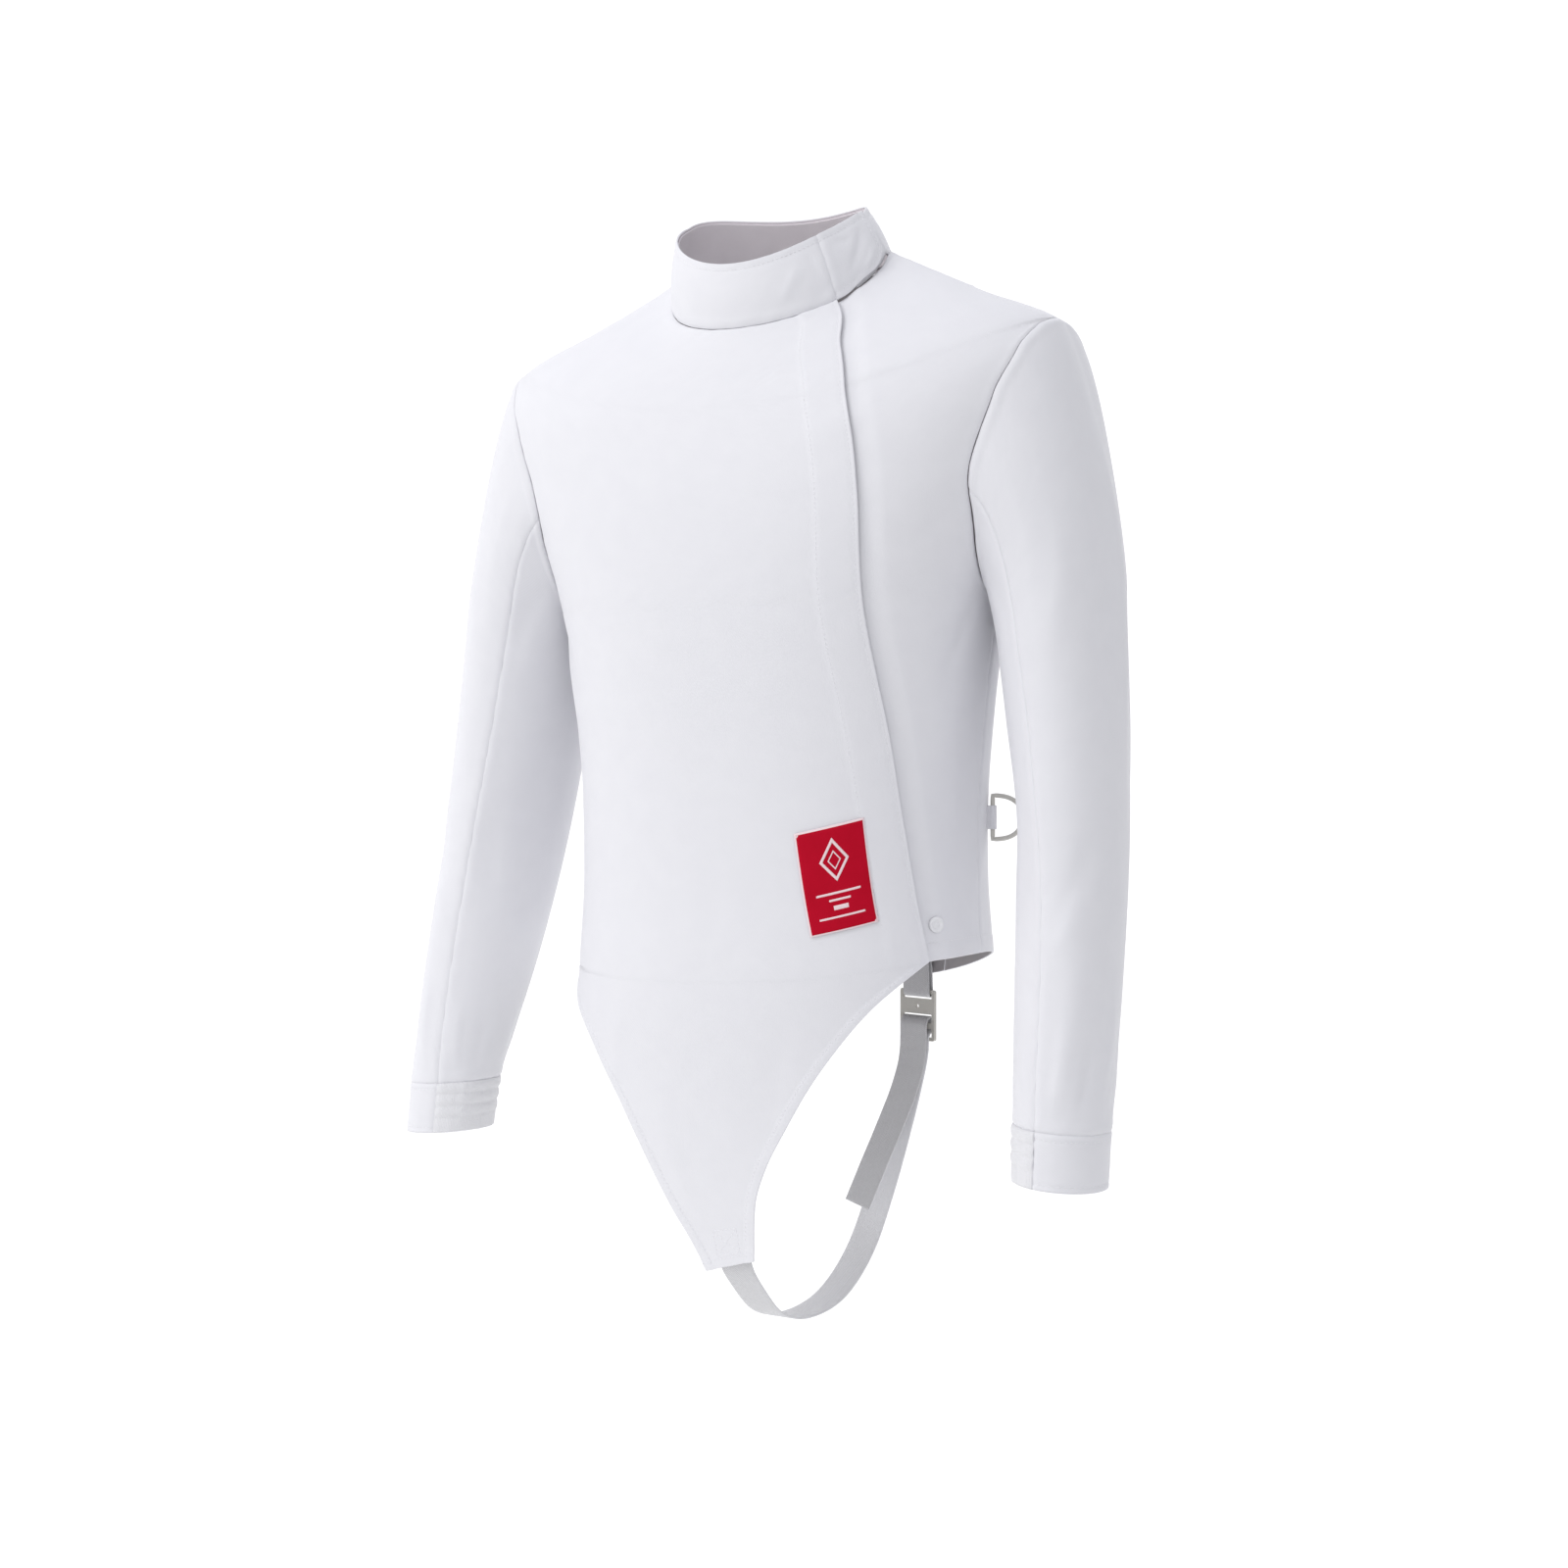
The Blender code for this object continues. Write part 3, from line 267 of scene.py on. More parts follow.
def unit(vectors):
    length = np.linalg.norm(vectors, axis=-1, keepdims=True)
    return vectors / np.maximum(length, 1e-12)


def torso_base(angle, level):
    """Points of the plain torso surface. Angle in degrees from the front to the left."""
    angle, level = np.broadcast_arrays(np.asarray(angle, float), np.asarray(level, float))
    front, side, back, half, y_front, y_back, power, turn, tilt = (
        interpolate(TORSO_RINGS, level, column, even=True) for column in range(1, 10))
    neck = smooth_step((level - NECK_FALL_FROM) / (NECK_T - NECK_FALL_FROM))
    fall = RING_FALL + (NECK_FALL - RING_FALL) * neck
    across = np.sin(np.radians(angle))
    along = np.cos(np.radians(angle))
    x = half * signed_power(across, 2 / power)
    depth = np.where(along > 0, np.abs(y_front), y_back)
    y = -depth * signed_power(along, 2 / power) + turn * x
    centre = np.where(along > 0, front, back)
    z = side + (centre - side) * np.abs(along) ** fall + tilt * x
    return np.stack([x, y, z], axis=-1) * MM


def torso_normal(angle, level, step=0.02):
    turn = torso_base(angle + 50 * step, level) - torso_base(angle - 50 * step, level)
    low = np.maximum(level - step, 0.0)
    high = np.minimum(level + step, NECK_T)
    return unit(np.cross(turn, torso_base(angle, high) - torso_base(angle, low)))


def crease_field(creases, angle, height, mm_per_degree):
    """Height in millimetres of the listed creases at an angle and a height."""
    total = np.zeros(np.broadcast(angle, height).shape)
    for a0, z0, a1, z1, width, rise, bow in creases:
        run = (a1 - a0) * mm_per_degree
        drop = z1 - z0
        length = math.hypot(run, drop)
        dx = wrap(angle - a0) * mm_per_degree
        dz = height - z0
        t = (dx * run + dz * drop) / length ** 2
        aside = (dx * drop - dz * run) / length - bow * 4 * t * (1 - t)
        fade = smooth_step(t / 0.4) * smooth_step((1 - t) / 0.4)
        wide = width * np.where(aside > 0, 1.25, 0.8)
        total += rise * fade * np.exp(-(aside / wide) ** 2)
    return total


def torso_relief(angle, level):
    """Broad folds and creases of the torso in metres."""
    total = np.zeros(np.broadcast(angle, level).shape)
    for centre, at_level, spread, reach, lean, height in BROAD_FOLDS:
        off = wrap(angle - centre - lean * (level - at_level))
        total += height * np.exp(-(off / spread) ** 2 - ((level - at_level) / reach) ** 2)
    height = torso_base(angle, level)[..., 2] / MM
    return (total + crease_field(BODY_CREASES, angle, height, TORSO_MM_PER_DEGREE)) * MM


def torso_point(angle, level):
    return torso_base(angle, level) + torso_normal(angle, level) * torso_relief(angle, level)[..., None]


def ring_angle(x, level):
    """Angle on the front of a ring whose point lies at x millimetres across."""
    half = interpolate(TORSO_RINGS, level, 4, even=True)
    power = interpolate(TORSO_RINGS, level, 7, even=True)
    share = np.clip(x / half, -1.0, 1.0)
    return np.degrees(np.arcsin(signed_power(share, power / 2)))


def armhole_offset(level, column):
    inside = (level > ARMPIT_T) & (level < SHOULDER_T)
    return np.where(inside, interpolate(ARMHOLE, level, column), 0.0)


# Materials

def new_material(name):
    material = bpy.data.materials.new(name)
    material.use_nodes = True
    tree = material.node_tree
    return material, tree, tree.nodes["Principled BSDF"]


def add_node(tree, kind, **values):
    node = tree.nodes.new(kind)
    for key, value in values.items():
        if key in node.inputs:
            node.inputs[key].default_value = value
        else:
            setattr(node, key, value)
    return node


def math_node(tree, operation, first, second):
    node = tree.nodes.new("ShaderNodeMath")
    node.operation = operation
    for socket, value in zip(node.inputs, (first, second)):
        if isinstance(value, (int, float)):
            socket.default_value = value
        else:
            tree.links.new(value, socket)
    return node.outputs[0]


def mix_colour(tree, factor, first, second):
    node = tree.nodes.new("ShaderNodeMix")
    node.data_type = "RGBA"
    tree.links.new(factor, node.inputs["Factor"])
    for socket, value in zip((node.inputs["A"], node.inputs["B"]), (first, second)):
        if isinstance(value, tuple):
            socket.default_value = (*value, 1.0)
        else:
            tree.links.new(value, socket)
    return node.outputs["Result"]


def cloth_uv(tree):
    """Cloth coordinates in millimetres."""
    uv = tree.nodes.new("ShaderNodeUVMap")
    uv.uv_map = "cloth"
    scale = add_node(tree, "ShaderNodeVectorMath", operation="SCALE")
    scale.inputs["Scale"].default_value = 1000.0
    tree.links.new(uv.outputs["UV"], scale.inputs[0])
    return scale.outputs[0]


def wave(tree, vector, direction, period, distortion=0.0):
    """Rounded ridges along one direction, a given number of millimetres apart."""
    turn = add_node(tree, "ShaderNodeVectorRotate", rotation_type="Z_AXIS")
    turn.inputs["Angle"].default_value = math.radians(direction)
    tree.links.new(vector, turn.inputs["Vector"])
    node = add_node(tree, "ShaderNodeTexWave", wave_type="BANDS", bands_direction="X")
    node.inputs["Scale"].default_value = math.pi / 10 / period
    node.inputs["Distortion"].default_value = distortion
    node.inputs["Detail"].default_value = 1.0
    node.inputs["Detail Scale"].default_value = 1.5
    tree.links.new(turn.outputs["Vector"], node.inputs["Vector"])
    return node.outputs["Fac"]


def noise(tree, vector, scale, detail=3.0):
    node = add_node(tree, "ShaderNodeTexNoise")
    node.inputs["Scale"].default_value = scale
    node.inputs["Detail"].default_value = detail
    tree.links.new(vector, node.inputs["Vector"])
    return node.outputs["Fac"]


def bump(tree, height, strength, distance, under=None):
    node = add_node(tree, "ShaderNodeBump")
    node.inputs["Strength"].default_value = strength
    node.inputs["Distance"].default_value = distance
    tree.links.new(height, node.inputs["Height"])
    if under is not None:
        tree.links.new(under, node.inputs["Normal"])
    return node.outputs["Normal"]


def twill_material(name, light, dark, period=0.9, strength=0.35, roughness=0.62, sheen=0.25,
                   gloss=0.5):
    """Diagonal twill with a slight mottle and soft unevenness."""
    material, tree, shader = new_material(name)
    place = cloth_uv(tree)
    ribs = wave(tree, place, 63.0, period, 0.6)
    threads = wave(tree, place, 0.0, period * 0.55, 0.4)
    mottle = noise(tree, place, 0.05)
    soft = noise(tree, place, 0.11, 2.0)
    shade = math_node(tree, "ADD", math_node(tree, "MULTIPLY", mottle, 0.8),
                      math_node(tree, "MULTIPLY", ribs, 0.25))
    tree.links.new(mix_colour(tree, shade, dark, light), shader.inputs["Base Color"])
    weave = math_node(tree, "ADD", ribs, math_node(tree, "MULTIPLY", threads, 0.45))
    fine = bump(tree, weave, strength, 0.12 * MM)
    normal = bump(tree, soft, 0.25, 0.5 * MM, fine)
    tree.links.new(normal, shader.inputs["Normal"])
    shader.inputs["Roughness"].default_value = roughness
    shader.inputs["Specular IOR Level"].default_value = gloss
    shader.inputs["Sheen Weight"].default_value = sheen
    shader.inputs["Sheen Roughness"].default_value = 0.4
    return material


def webbing_material(name, light, dark):
    """Herringbone: slanting ribs that turn back along the middle and the quarters."""
    material, tree, shader = new_material(name)
    place = cloth_uv(tree)
    split = tree.nodes.new("ShaderNodeSeparateXYZ")
    tree.links.new(place, split.inputs[0])
    fold = math_node(tree, "PINGPONG", math_node(tree, "ADD", split.outputs["X"], 100.0), 3.7)
    slant = math_node(tree, "ADD", split.outputs["Y"], math_node(tree, "MULTIPLY", fold, 0.9))
    ribs = math_node(tree, "PINGPONG", math_node(tree, "ADD", slant, 500.0), 0.75)
    ribs = math_node(tree, "MULTIPLY", ribs, 1.33)
    mottle = noise(tree, place, 0.35)
    shade = math_node(tree, "ADD", math_node(tree, "MULTIPLY", ribs, 0.6),
                      math_node(tree, "MULTIPLY", mottle, 0.4))
    tree.links.new(mix_colour(tree, shade, dark, light), shader.inputs["Base Color"])
    tree.links.new(bump(tree, ribs, 0.7, 0.3 * MM), shader.inputs["Normal"])
    shader.inputs["Roughness"].default_value = 0.6
    shader.inputs["Sheen Weight"].default_value = 0.2
    return material


def elastic_material(name, light, dark):
    """Fine knitted ribs that run round the cuff."""
    material, tree, shader = new_material(name)
    place = cloth_uv(tree)
    across = wave(tree, place, 0.0, 1.3, 0.8)
    along = wave(tree, place, 90.0, 0.8, 1.0)
    fuzz = noise(tree, place, 1.4, 5.0)
    height = math_node(tree, "ADD", math_node(tree, "MULTIPLY", across, 0.6),
                       math_node(tree, "ADD", math_node(tree, "MULTIPLY", along, 0.3), fuzz))
    tree.links.new(mix_colour(tree, fuzz, dark, light), shader.inputs["Base Color"])
    tree.links.new(bump(tree, height, 0.8, 0.35 * MM), shader.inputs["Normal"])
    shader.inputs["Roughness"].default_value = 0.8
    shader.inputs["Sheen Weight"].default_value = 0.5
    return material


def plastic_material(name, colour, roughness):
    """Moulded plastic with a fine grain and slightly uneven gloss."""
    material, tree, shader = new_material(name)
    place = tree.nodes.new("ShaderNodeTexCoord").outputs["Object"]
    grain = noise(tree, place, 2600.0, 2.0)
    cloud = noise(tree, place, 90.0, 2.0)
    dark = tuple(0.93 * c for c in colour)
    tree.links.new(mix_colour(tree, cloud, dark, colour), shader.inputs["Base Color"])
    tree.links.new(bump(tree, grain, 0.25, 0.05 * MM), shader.inputs["Normal"])
    gloss = math_node(tree, "ADD", math_node(tree, "MULTIPLY", cloud, 0.16), roughness - 0.08)
    tree.links.new(gloss, shader.inputs["Roughness"])
    return material


MATERIALS = {
    "cloth": twill_material("white_twill", (0.785, 0.785, 0.815), (0.74, 0.74, 0.775)),
    "inside": twill_material("grey_inside", (0.43, 0.41, 0.425), (0.37, 0.35, 0.365), 1.1, 0.4, 0.8),
    "lining": twill_material("collar_lining_cloth", (0.86, 0.81, 0.85), (0.74, 0.69, 0.73), 1.0),
    "thread": twill_material("white_thread", (0.88, 0.88, 0.90), (0.8, 0.8, 0.83), 0.5),
    "elastic": elastic_material("ribbed_elastic", (0.85, 0.85, 0.87), (0.74, 0.74, 0.77)),
    "webbing": webbing_material("herringbone_webbing", (0.76, 0.76, 0.775), (0.47, 0.47, 0.485)),
    "webbing_face": webbing_material("pale_webbing", (0.84, 0.84, 0.86), (0.70, 0.70, 0.72)),
    "red": twill_material("red_satin", (0.52, 0.001, 0.022), (0.40, 0.0, 0.012), 0.5, 0.25, 0.7,
                          0.0, 0.1),
    "pale": twill_material("pale_satin", (0.86, 0.72, 0.74), (0.80, 0.62, 0.65), 0.5, 0.25, 0.5),
    # Plastic of the buckle and ring: its own pale ivory tone, darkened partly as painted shade, the
    # shade the buckle sits in from the front.
    "plastic": plastic_material("ivory_plastic_grain_shade_darkened", (0.60, 0.585, 0.54), 0.42),
    "snap": plastic_material("snap_plastic_grain", (0.84, 0.84, 0.86), 0.32),
}


# Meshes

def grid_normals(grid, wrapped=False):
    """Normals of a grid whose columns turn to the left and whose rows rise."""
    if wrapped:
        turn = np.roll(grid, -1, axis=1) - np.roll(grid, 1, axis=1)
    else:
        turn = np.gradient(grid, axis=1)
    rise = np.gradient(grid, axis=0)
    normals = np.cross(turn, rise)
    length = np.linalg.norm(normals, axis=-1)
    for row in np.where((length < 1e-14).any(axis=1))[0]:
        donor = row - 1 if row > 0 else row + 1
        weak = length[row] < 1e-14
        normals[row, weak] = normals[donor, weak]
    return unit(normals)


def make_mesh(name, vertices, faces, uvs=None, face_slots=None, materials=(), smooth=True):
    mesh = bpy.data.meshes.new(name)
    mesh.from_pydata([tuple(map(float, v)) for v in vertices], [], faces)
    for material in materials:
        mesh.materials.append(material)
    if face_slots is not None:
        mesh.polygons.foreach_set("material_index", face_slots)
    if uvs is not None:
        layer = mesh.uv_layers.new(name="cloth")
        corners = np.empty(len(mesh.loops), dtype=np.int32)
        mesh.loops.foreach_get("vertex_index", corners)
        layer.data.foreach_set("uv", np.asarray(uvs, dtype=np.float32)[corners].ravel())
    mesh.polygons.foreach_set("use_smooth", [smooth] * len(mesh.polygons))
    item = bpy.data.objects.new(name, mesh)
    bpy.context.scene.collection.objects.link(item)
    return item


def grid_uv(grid):
    """Cloth coordinates in metres, from the lengths along rows and the middle column."""
    steps = np.linalg.norm(np.diff(grid, axis=1), axis=-1)
    across = np.concatenate([np.zeros((len(grid), 1)), np.cumsum(steps, axis=1)], axis=1)
    middle = grid.shape[1] // 2
    across -= across[:, middle:middle + 1]
    rises = np.linalg.norm(np.diff(grid[:, middle], axis=0), axis=-1)
    along = np.concatenate([[0.0], np.cumsum(rises)])
    return np.stack([across, np.broadcast_to(along[:, None], across.shape)], axis=-1)


def border_walk(rows, columns):
    """Indices round the border of a grid, and of the points just inside them."""
    border = [(0, c) for c in range(columns)]
    border += [(r, columns - 1) for r in range(1, rows)]
    border += [(rows - 1, c) for c in range(columns - 2, -1, -1)]
    border += [(r, 0) for r in range(rows - 2, 0, -1)]
    inside = [(min(max(r, 1), rows - 2), min(max(c, 1), columns - 2)) for r, c in border]
    return border, inside


def shell(name, grid, thickness, outer, inner, normals=None):
    """Thin closed cloth: outer face on the grid, inner face below it, rounded edges."""
    rows, columns = grid.shape[:2]
    if normals is None:
        normals = grid_normals(grid)
    low = grid - normals * thickness
    uv = grid_uv(grid).reshape(-1, 2)
    border, inside = border_walk(rows, columns)
    edge = np.array([r * columns + c for r, c in border])
    near = np.array([r * columns + c for r, c in inside])
    top = grid.reshape(-1, 3)
    bottom = low.reshape(-1, 3)
    away = unit(top[edge] - top[near])
    middle = (top[edge] + bottom[edge]) / 2 + away * thickness * 0.32
    count = rows * columns
    vertices = np.concatenate([top, bottom, middle])
    uvs = np.concatenate([uv, uv, uv[edge]])
    index = np.arange(count).reshape(rows, columns)
    a, b = index[:-1, :-1], index[:-1, 1:]
    c, d = index[1:, 1:], index[1:, :-1]
    quads = np.stack([a, b, c, d], axis=-1).reshape(-1, 4)
    faces = [tuple(map(int, q)) for q in quads]
    slots = [0] * len(faces)
    faces += [tuple(map(int, q[::-1] + count)) for q in quads]
    slots += [1] * len(quads)
    total = len(edge)
    for k in range(total):
        j = (k + 1) % total
        e0, e1 = int(edge[k]), int(edge[j])
        m0, m1 = 2 * count + k, 2 * count + j
        faces.append((e1, e0, m0, m1))
        faces.append((m1, m0, e0 + count, e1 + count))
        slots += [0, 0]
    return make_mesh(name, vertices, faces, uvs, slots, (outer, inner))


def surface_area(grid):
    a, b = grid[:-1, :-1], grid[:-1, 1:]
    c, d = grid[1:, 1:], grid[1:, :-1]
    first = np.linalg.norm(np.cross(b - a, c - a), axis=-1)
    second = np.linalg.norm(np.cross(c - a, d - a), axis=-1)
    return float((first + second).sum() / 2)


def declare_sheet(grid, seam=0.0):
    """Work out the flat cut of a piece, its largest width and length and its area; nothing is kept or
    returned.
    """
    widths = np.linalg.norm(np.diff(grid, axis=1), axis=-1).sum(axis=1)
    lengths = np.linalg.norm(np.diff(grid, axis=0), axis=-1).sum(axis=0)
    width = float(widths.max()) + 2 * seam
    length = float(lengths.max()) + 2 * seam
    area = surface_area(grid) + 2 * seam * (float(widths.mean()) + float(lengths.mean()))
    area = min(max(area, 0.3 * width * length), width * length)


def edge_shares(width, count):
    """Shares across one row: fixed steps near both borders, even ones between."""
    near = np.array(EDGE_STEPS)
    reach = near[-1]
    if width < 3.2 * reach:
        near = near * width / (3.2 * reach)
        reach = near[-1]
    middle = np.linspace(reach, width - reach, count + 2)[1:-1]
    return np.concatenate([near, middle, width - near[::-1]]) / max(width, 1e-9)


def level_rows(first, last, step):
    """Levels about a number of millimetres apart, closer at both ends."""
    dense = np.linspace(first, last, 600)
    line = torso_base(20.0, dense) / MM
    run = np.concatenate([[0.0], np.cumsum(np.linalg.norm(np.diff(line, axis=0), axis=-1))])
    count = int(run[-1] / step)
    return np.interp(edge_shares(run[-1], count) * run[-1], run, dense)


def row_borders(level, left, right):
    """Distance across one row and its point spacing in millimetres."""
    angles = left + (right - left) * np.linspace(0, 1, 60)
    line = torso_base(angles, np.full(60, level)) / MM
    run = np.concatenate([[0.0], np.cumsum(np.linalg.norm(np.diff(line, axis=0), axis=-1))])
    return angles, run


def panel_angles(levels, left, right, step):
    """Angles of every grid point, evenly spaced across, with close columns at borders."""
    widest = 0.0
    lines = []
    for level, a, b in zip(levels, left, right):
        angles, run = row_borders(level, a, b)
        lines.append((angles, run))
        widest = max(widest, run[-1])
    count = max(int((widest - 2 * EDGE_STEPS[-1]) / step), 2)
    rows = []
    for angles, run in lines:
        if run[-1] < 1e-6:
            rows.append(np.linspace(angles[0], angles[-1], count + 2 * len(EDGE_STEPS)))
        else:
            shares = edge_shares(run[-1], count)
            rows.append(np.interp(shares * run[-1], run, angles))
    return np.array(rows)


def edge_distances(grid):
    """Distance of each point from the four borders in millimetres."""
    across = np.linalg.norm(np.diff(grid, axis=1), axis=-1) / MM
    along = np.linalg.norm(np.diff(grid, axis=0), axis=-1) / MM
    left = np.concatenate([np.zeros((len(grid), 1)), np.cumsum(across, axis=1)], axis=1)
    low = np.concatenate([np.zeros((1, grid.shape[1])), np.cumsum(along, axis=0)], axis=0)
    return {"left": left, "right": left[:, -1:] - left, "low": low, "high": low[-1:] - low}


def pucker(length, seed):
    """Small uneven waves along a seam, about one every 14 mm."""
    phase = seed * 1.7
    return (np.sin(length / 2.3 + phase) * 0.5 + np.sin(length / 3.9 + 2.1 * phase) * 0.7
            + np.sin(length / 7.7 + 0.6 * phase) * 0.6)


def seam_relief(distance, length, seed, ridge=0.35):
    """The cloth dips into a seam, swells beside it and puckers a little."""
    dip = -0.40 * np.exp(-(distance / 1.1) ** 2)
    swell = ridge * np.exp(-((distance - 4.5) / 3.0) ** 2)
    waves = 0.13 * pucker(length, seed) * np.exp(-(distance / 9.0) ** 2)
    return dip + swell + waves


def stitch_relief(distance, at, length, seed):
    """The line of topstitching pulls the cloth down, with small puckers."""
    off = distance - at
    line = -0.50 * np.exp(-(off / 1.0) ** 2)
    return line + 0.10 * pucker(length, seed) * np.exp(-(off / 4.0) ** 2)


def band_relief(distance, width, height):
    """Extra thickness of a turned or faced edge, ending at its stitching."""
    return height * (1 - smooth_step((distance - width) / 1.6 + 0.5))


PANELS = {}


def displaced(grid, normals, relief, name):
    """Move a grid out by its relief in millimetres and keep it for the sewing."""
    out = grid + normals * relief[..., None] * MM
    PANELS[name] = {"grid": out, "normals": grid_normals(out)}
    return out


def edge_path(name, side, offset, begin=0.0, end=1.0):
    """Points and normals along a panel at a distance from one border, in millimetres."""
    grid = PANELS[name]["grid"]
    normals = PANELS[name]["normals"]
    distance = edge_distances(grid)[side]
    if side in ("low", "high"):
        grid, normals = grid.transpose(1, 0, 2), normals.transpose(1, 0, 2)
        distance = distance.T
    if side in ("right", "high"):
        grid, normals, distance = grid[:, ::-1], normals[:, ::-1], distance[:, ::-1]
    points, ups = [], []
    first, last = int(begin * len(grid)), max(int(end * len(grid)), 1)
    for row in range(first, last):
        if distance[row][-1] < 2 * offset:
            continue
        points.append([np.interp(offset, distance[row], grid[row][:, k]) for k in range(3)])
        ups.append([np.interp(offset, distance[row], normals[row][:, k]) for k in range(3)])
    return np.array(points), unit(np.array(ups))


def panel_line(name, corners):
    """Points and normals along corners given as x and height above the lower edge."""
    grid, normals = PANELS[name]["grid"], PANELS[name]["normals"]
    heights = edge_distances(grid)["low"]
    points, ups = [], []
    for (x0, up0), (x1, up1) in zip(corners, corners[1:]):
        for share in np.linspace(0.0, 1.0, 9):
            x, up = (x0 + (x1 - x0) * share) * MM, up0 + (up1 - up0) * share
            column = heights[:, np.argmin(np.abs(grid[8, :, 0] - x))]
            row = np.interp(up, column, np.arange(len(column)))
            low = min(int(row), len(column) - 2)
            line = grid[low] + (grid[low + 1] - grid[low]) * (row - low)
            order = np.argsort(line[:, 0])
            points.append([np.interp(x, line[order, 0], line[order, k]) for k in range(3)])
            ups.append([np.interp(x, line[order, 0], normals[low][order, k]) for k in range(3)])
    return np.array(points), unit(np.array(ups))


def crossed_box(name, middle, half, low, high):
    """Square of stitching with both diagonals."""
    left, right = middle - half, middle + half
    return [panel_line(name, ((left, low), (right, low), (right, high), (left, high), (left, low))),
            panel_line(name, ((left, low), (right, high))),
            panel_line(name, ((left, high), (right, low)))]


def stitches(name, paths, length=2.7, gap=1.0, radius=0.27, lift=0.12, material="thread"):
    """Rows of single stitches: small rounded bars that dip into the cloth at both ends."""
    vertices, faces = [], []
    sides = 5
    for points, ups in paths:
        run = np.concatenate([[0.0], np.cumsum(np.linalg.norm(np.diff(points, axis=0), axis=-1))])
        total = run[-1] / MM
        count = int(total / (length + gap))
        if count < 1:
            continue
        pitch = total / count
        starts = np.arange(count) * pitch * MM
        for start in starts:
            spots = start + np.array([0.0, 0.18, 0.5, 0.82, 1.0]) * length * MM
            centre = np.stack([np.interp(spots, run, points[:, k]) for k in range(3)], axis=-1)
            up = unit(np.stack([np.interp(spots, run, ups[:, k]) for k in range(3)], axis=-1))
            rise = np.array([-0.25, 0.02, lift, 0.02, -0.25]) * MM
            centre = centre + up * rise[:, None]
            along = unit(centre[-1] - centre[0])
            side = unit(np.cross(along, up[2]))
            high = np.cross(side, along)
            base = len(vertices)
            vertices.append(centre[0])
            for spot, share in ((1, 0.8), (2, 1.0), (3, 0.8)):
                for k in range(sides):
                    a = 2 * math.pi * k / sides
                    vertices.append(centre[spot] + (side * math.cos(a) + high * math.sin(a))
                                    * radius * share * MM)
            vertices.append(centre[4])
            for k in range(sides):
                j = (k + 1) % sides
                faces.append((base, base + 1 + j, base + 1 + k))
                for ring in (0, 1):
                    low = base + 1 + ring * sides
                    faces.append((low + k, low + j, low + sides + j, low + sides + k))
                low = base + 1 + 2 * sides
                faces.append((low + k, low + j, base + 1 + 3 * sides))
    item = make_mesh(name, vertices, faces, [(v[0], v[2]) for v in vertices],
                     materials=(MATERIALS[material],))
    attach(item, JACKET)
    return item


def finish_cloth(item, grid, node):
    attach(item, JACKET)
    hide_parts(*node)
    declare_sheet(grid)


# Body panels

def right_front_border(level):
    tongue = ring_angle(interpolate(TONGUE, level, 1), level)
    return np.where(level < HEM_T, tongue, -90 + armhole_offset(level, 1))


def left_front_border(level):
    closing_x = torso_base(CLOSING[0][1], HEM_T)[0] / MM
    table = TONGUE[:-1] + ((HEM_T, TONGUE[-1][1], closing_x),)
    tongue = ring_angle(interpolate(table, level, 2), level)
    return np.where(level < HEM_T, tongue, interpolate(CLOSING, level, 1))


def lap_angle(level):
    centre = interpolate(CLOSING, level, 1)
    step = np.linalg.norm(torso_base(centre, level) - torso_base(centre - 5, level), axis=-1) / 5
    return np.minimum(LAP_WIDTH * MM / step, 30.0)


def under_drop(angle, level):
    beyond = (angle - interpolate(CLOSING, level, 1)) / np.maximum(lap_angle(level), 1e-6)
    return LAP_DROP * MM * (1 - smooth_step((beyond - 0.12) / 0.5))


def panel_grid(levels, left, right, step=PANEL_STEP, drop=None):
    angles = panel_angles(levels, left, right, step)
    level = np.broadcast_to(levels[:, None], angles.shape)
    normals = torso_normal(angles, level)
    height = torso_relief(angles, level)
    if drop is not None:
        height = height - drop(angles, level)
    return torso_base(angles, level) + normals * height[..., None], normals, level


def build_front():
    levels = level_rows(0.0, NECK_T, PANEL_STEP)
    grid, normals, level = panel_grid(levels, right_front_border(levels), left_front_border(levels))
    distance = edge_distances(grid)
    run = distance["low"]
    body = smooth_step((level - HEM_T + 0.05) / 0.1)
    leg = 1 - body
    relief = seam_relief(distance["left"], run, 1.0) * body
    relief += (band_relief(distance["left"], 9.0, 0.9)
               + stitch_relief(distance["left"], 8.0, run, 2.0)) * leg
    relief += (band_relief(distance["right"], 9.0, 0.9)
               + stitch_relief(distance["right"], 8.0, run, 3.0)) * leg
    relief += (band_relief(distance["right"], 33.0, 0.85)
               + stitch_relief(distance["right"], 32.0, run, 4.0)
               + stitch_relief(distance["right"], 3.0, run, 5.0) * 0.6) * body
    relief += band_relief(distance["low"], 8.0, 0.5)
    relief += seam_relief(distance["high"], distance["left"], 6.0)
    out = displaced(grid, normals, relief, "front")
    item = shell("front_cloth", out, CLOTH, MATERIALS["cloth"], MATERIALS["inside"])
    finish_cloth(item, out, ["front_panel"])


def build_under_front():
    levels = level_rows(HEM_T, NECK_T, PANEL_STEP)
    left = interpolate(CLOSING, levels, 1) - lap_angle(levels)
    right = 90 - armhole_offset(levels, 1)
    grid, normals, level = panel_grid(levels, left, right, drop=under_drop)
    distance = edge_distances(grid)
    relief = seam_relief(distance["right"], distance["low"], 7.0)
    relief += (band_relief(distance["low"], 14.0, 0.45)
               + stitch_relief(distance["low"], 13.0, distance["left"], 8.0))
    relief += seam_relief(distance["high"], distance["left"], 9.0)
    out = displaced(grid, normals, relief, "under_front")
    item = shell("under_front_cloth", out, CLOTH, MATERIALS["cloth"], MATERIALS["inside"])
    finish_cloth(item, out, ["front_under_panel"])


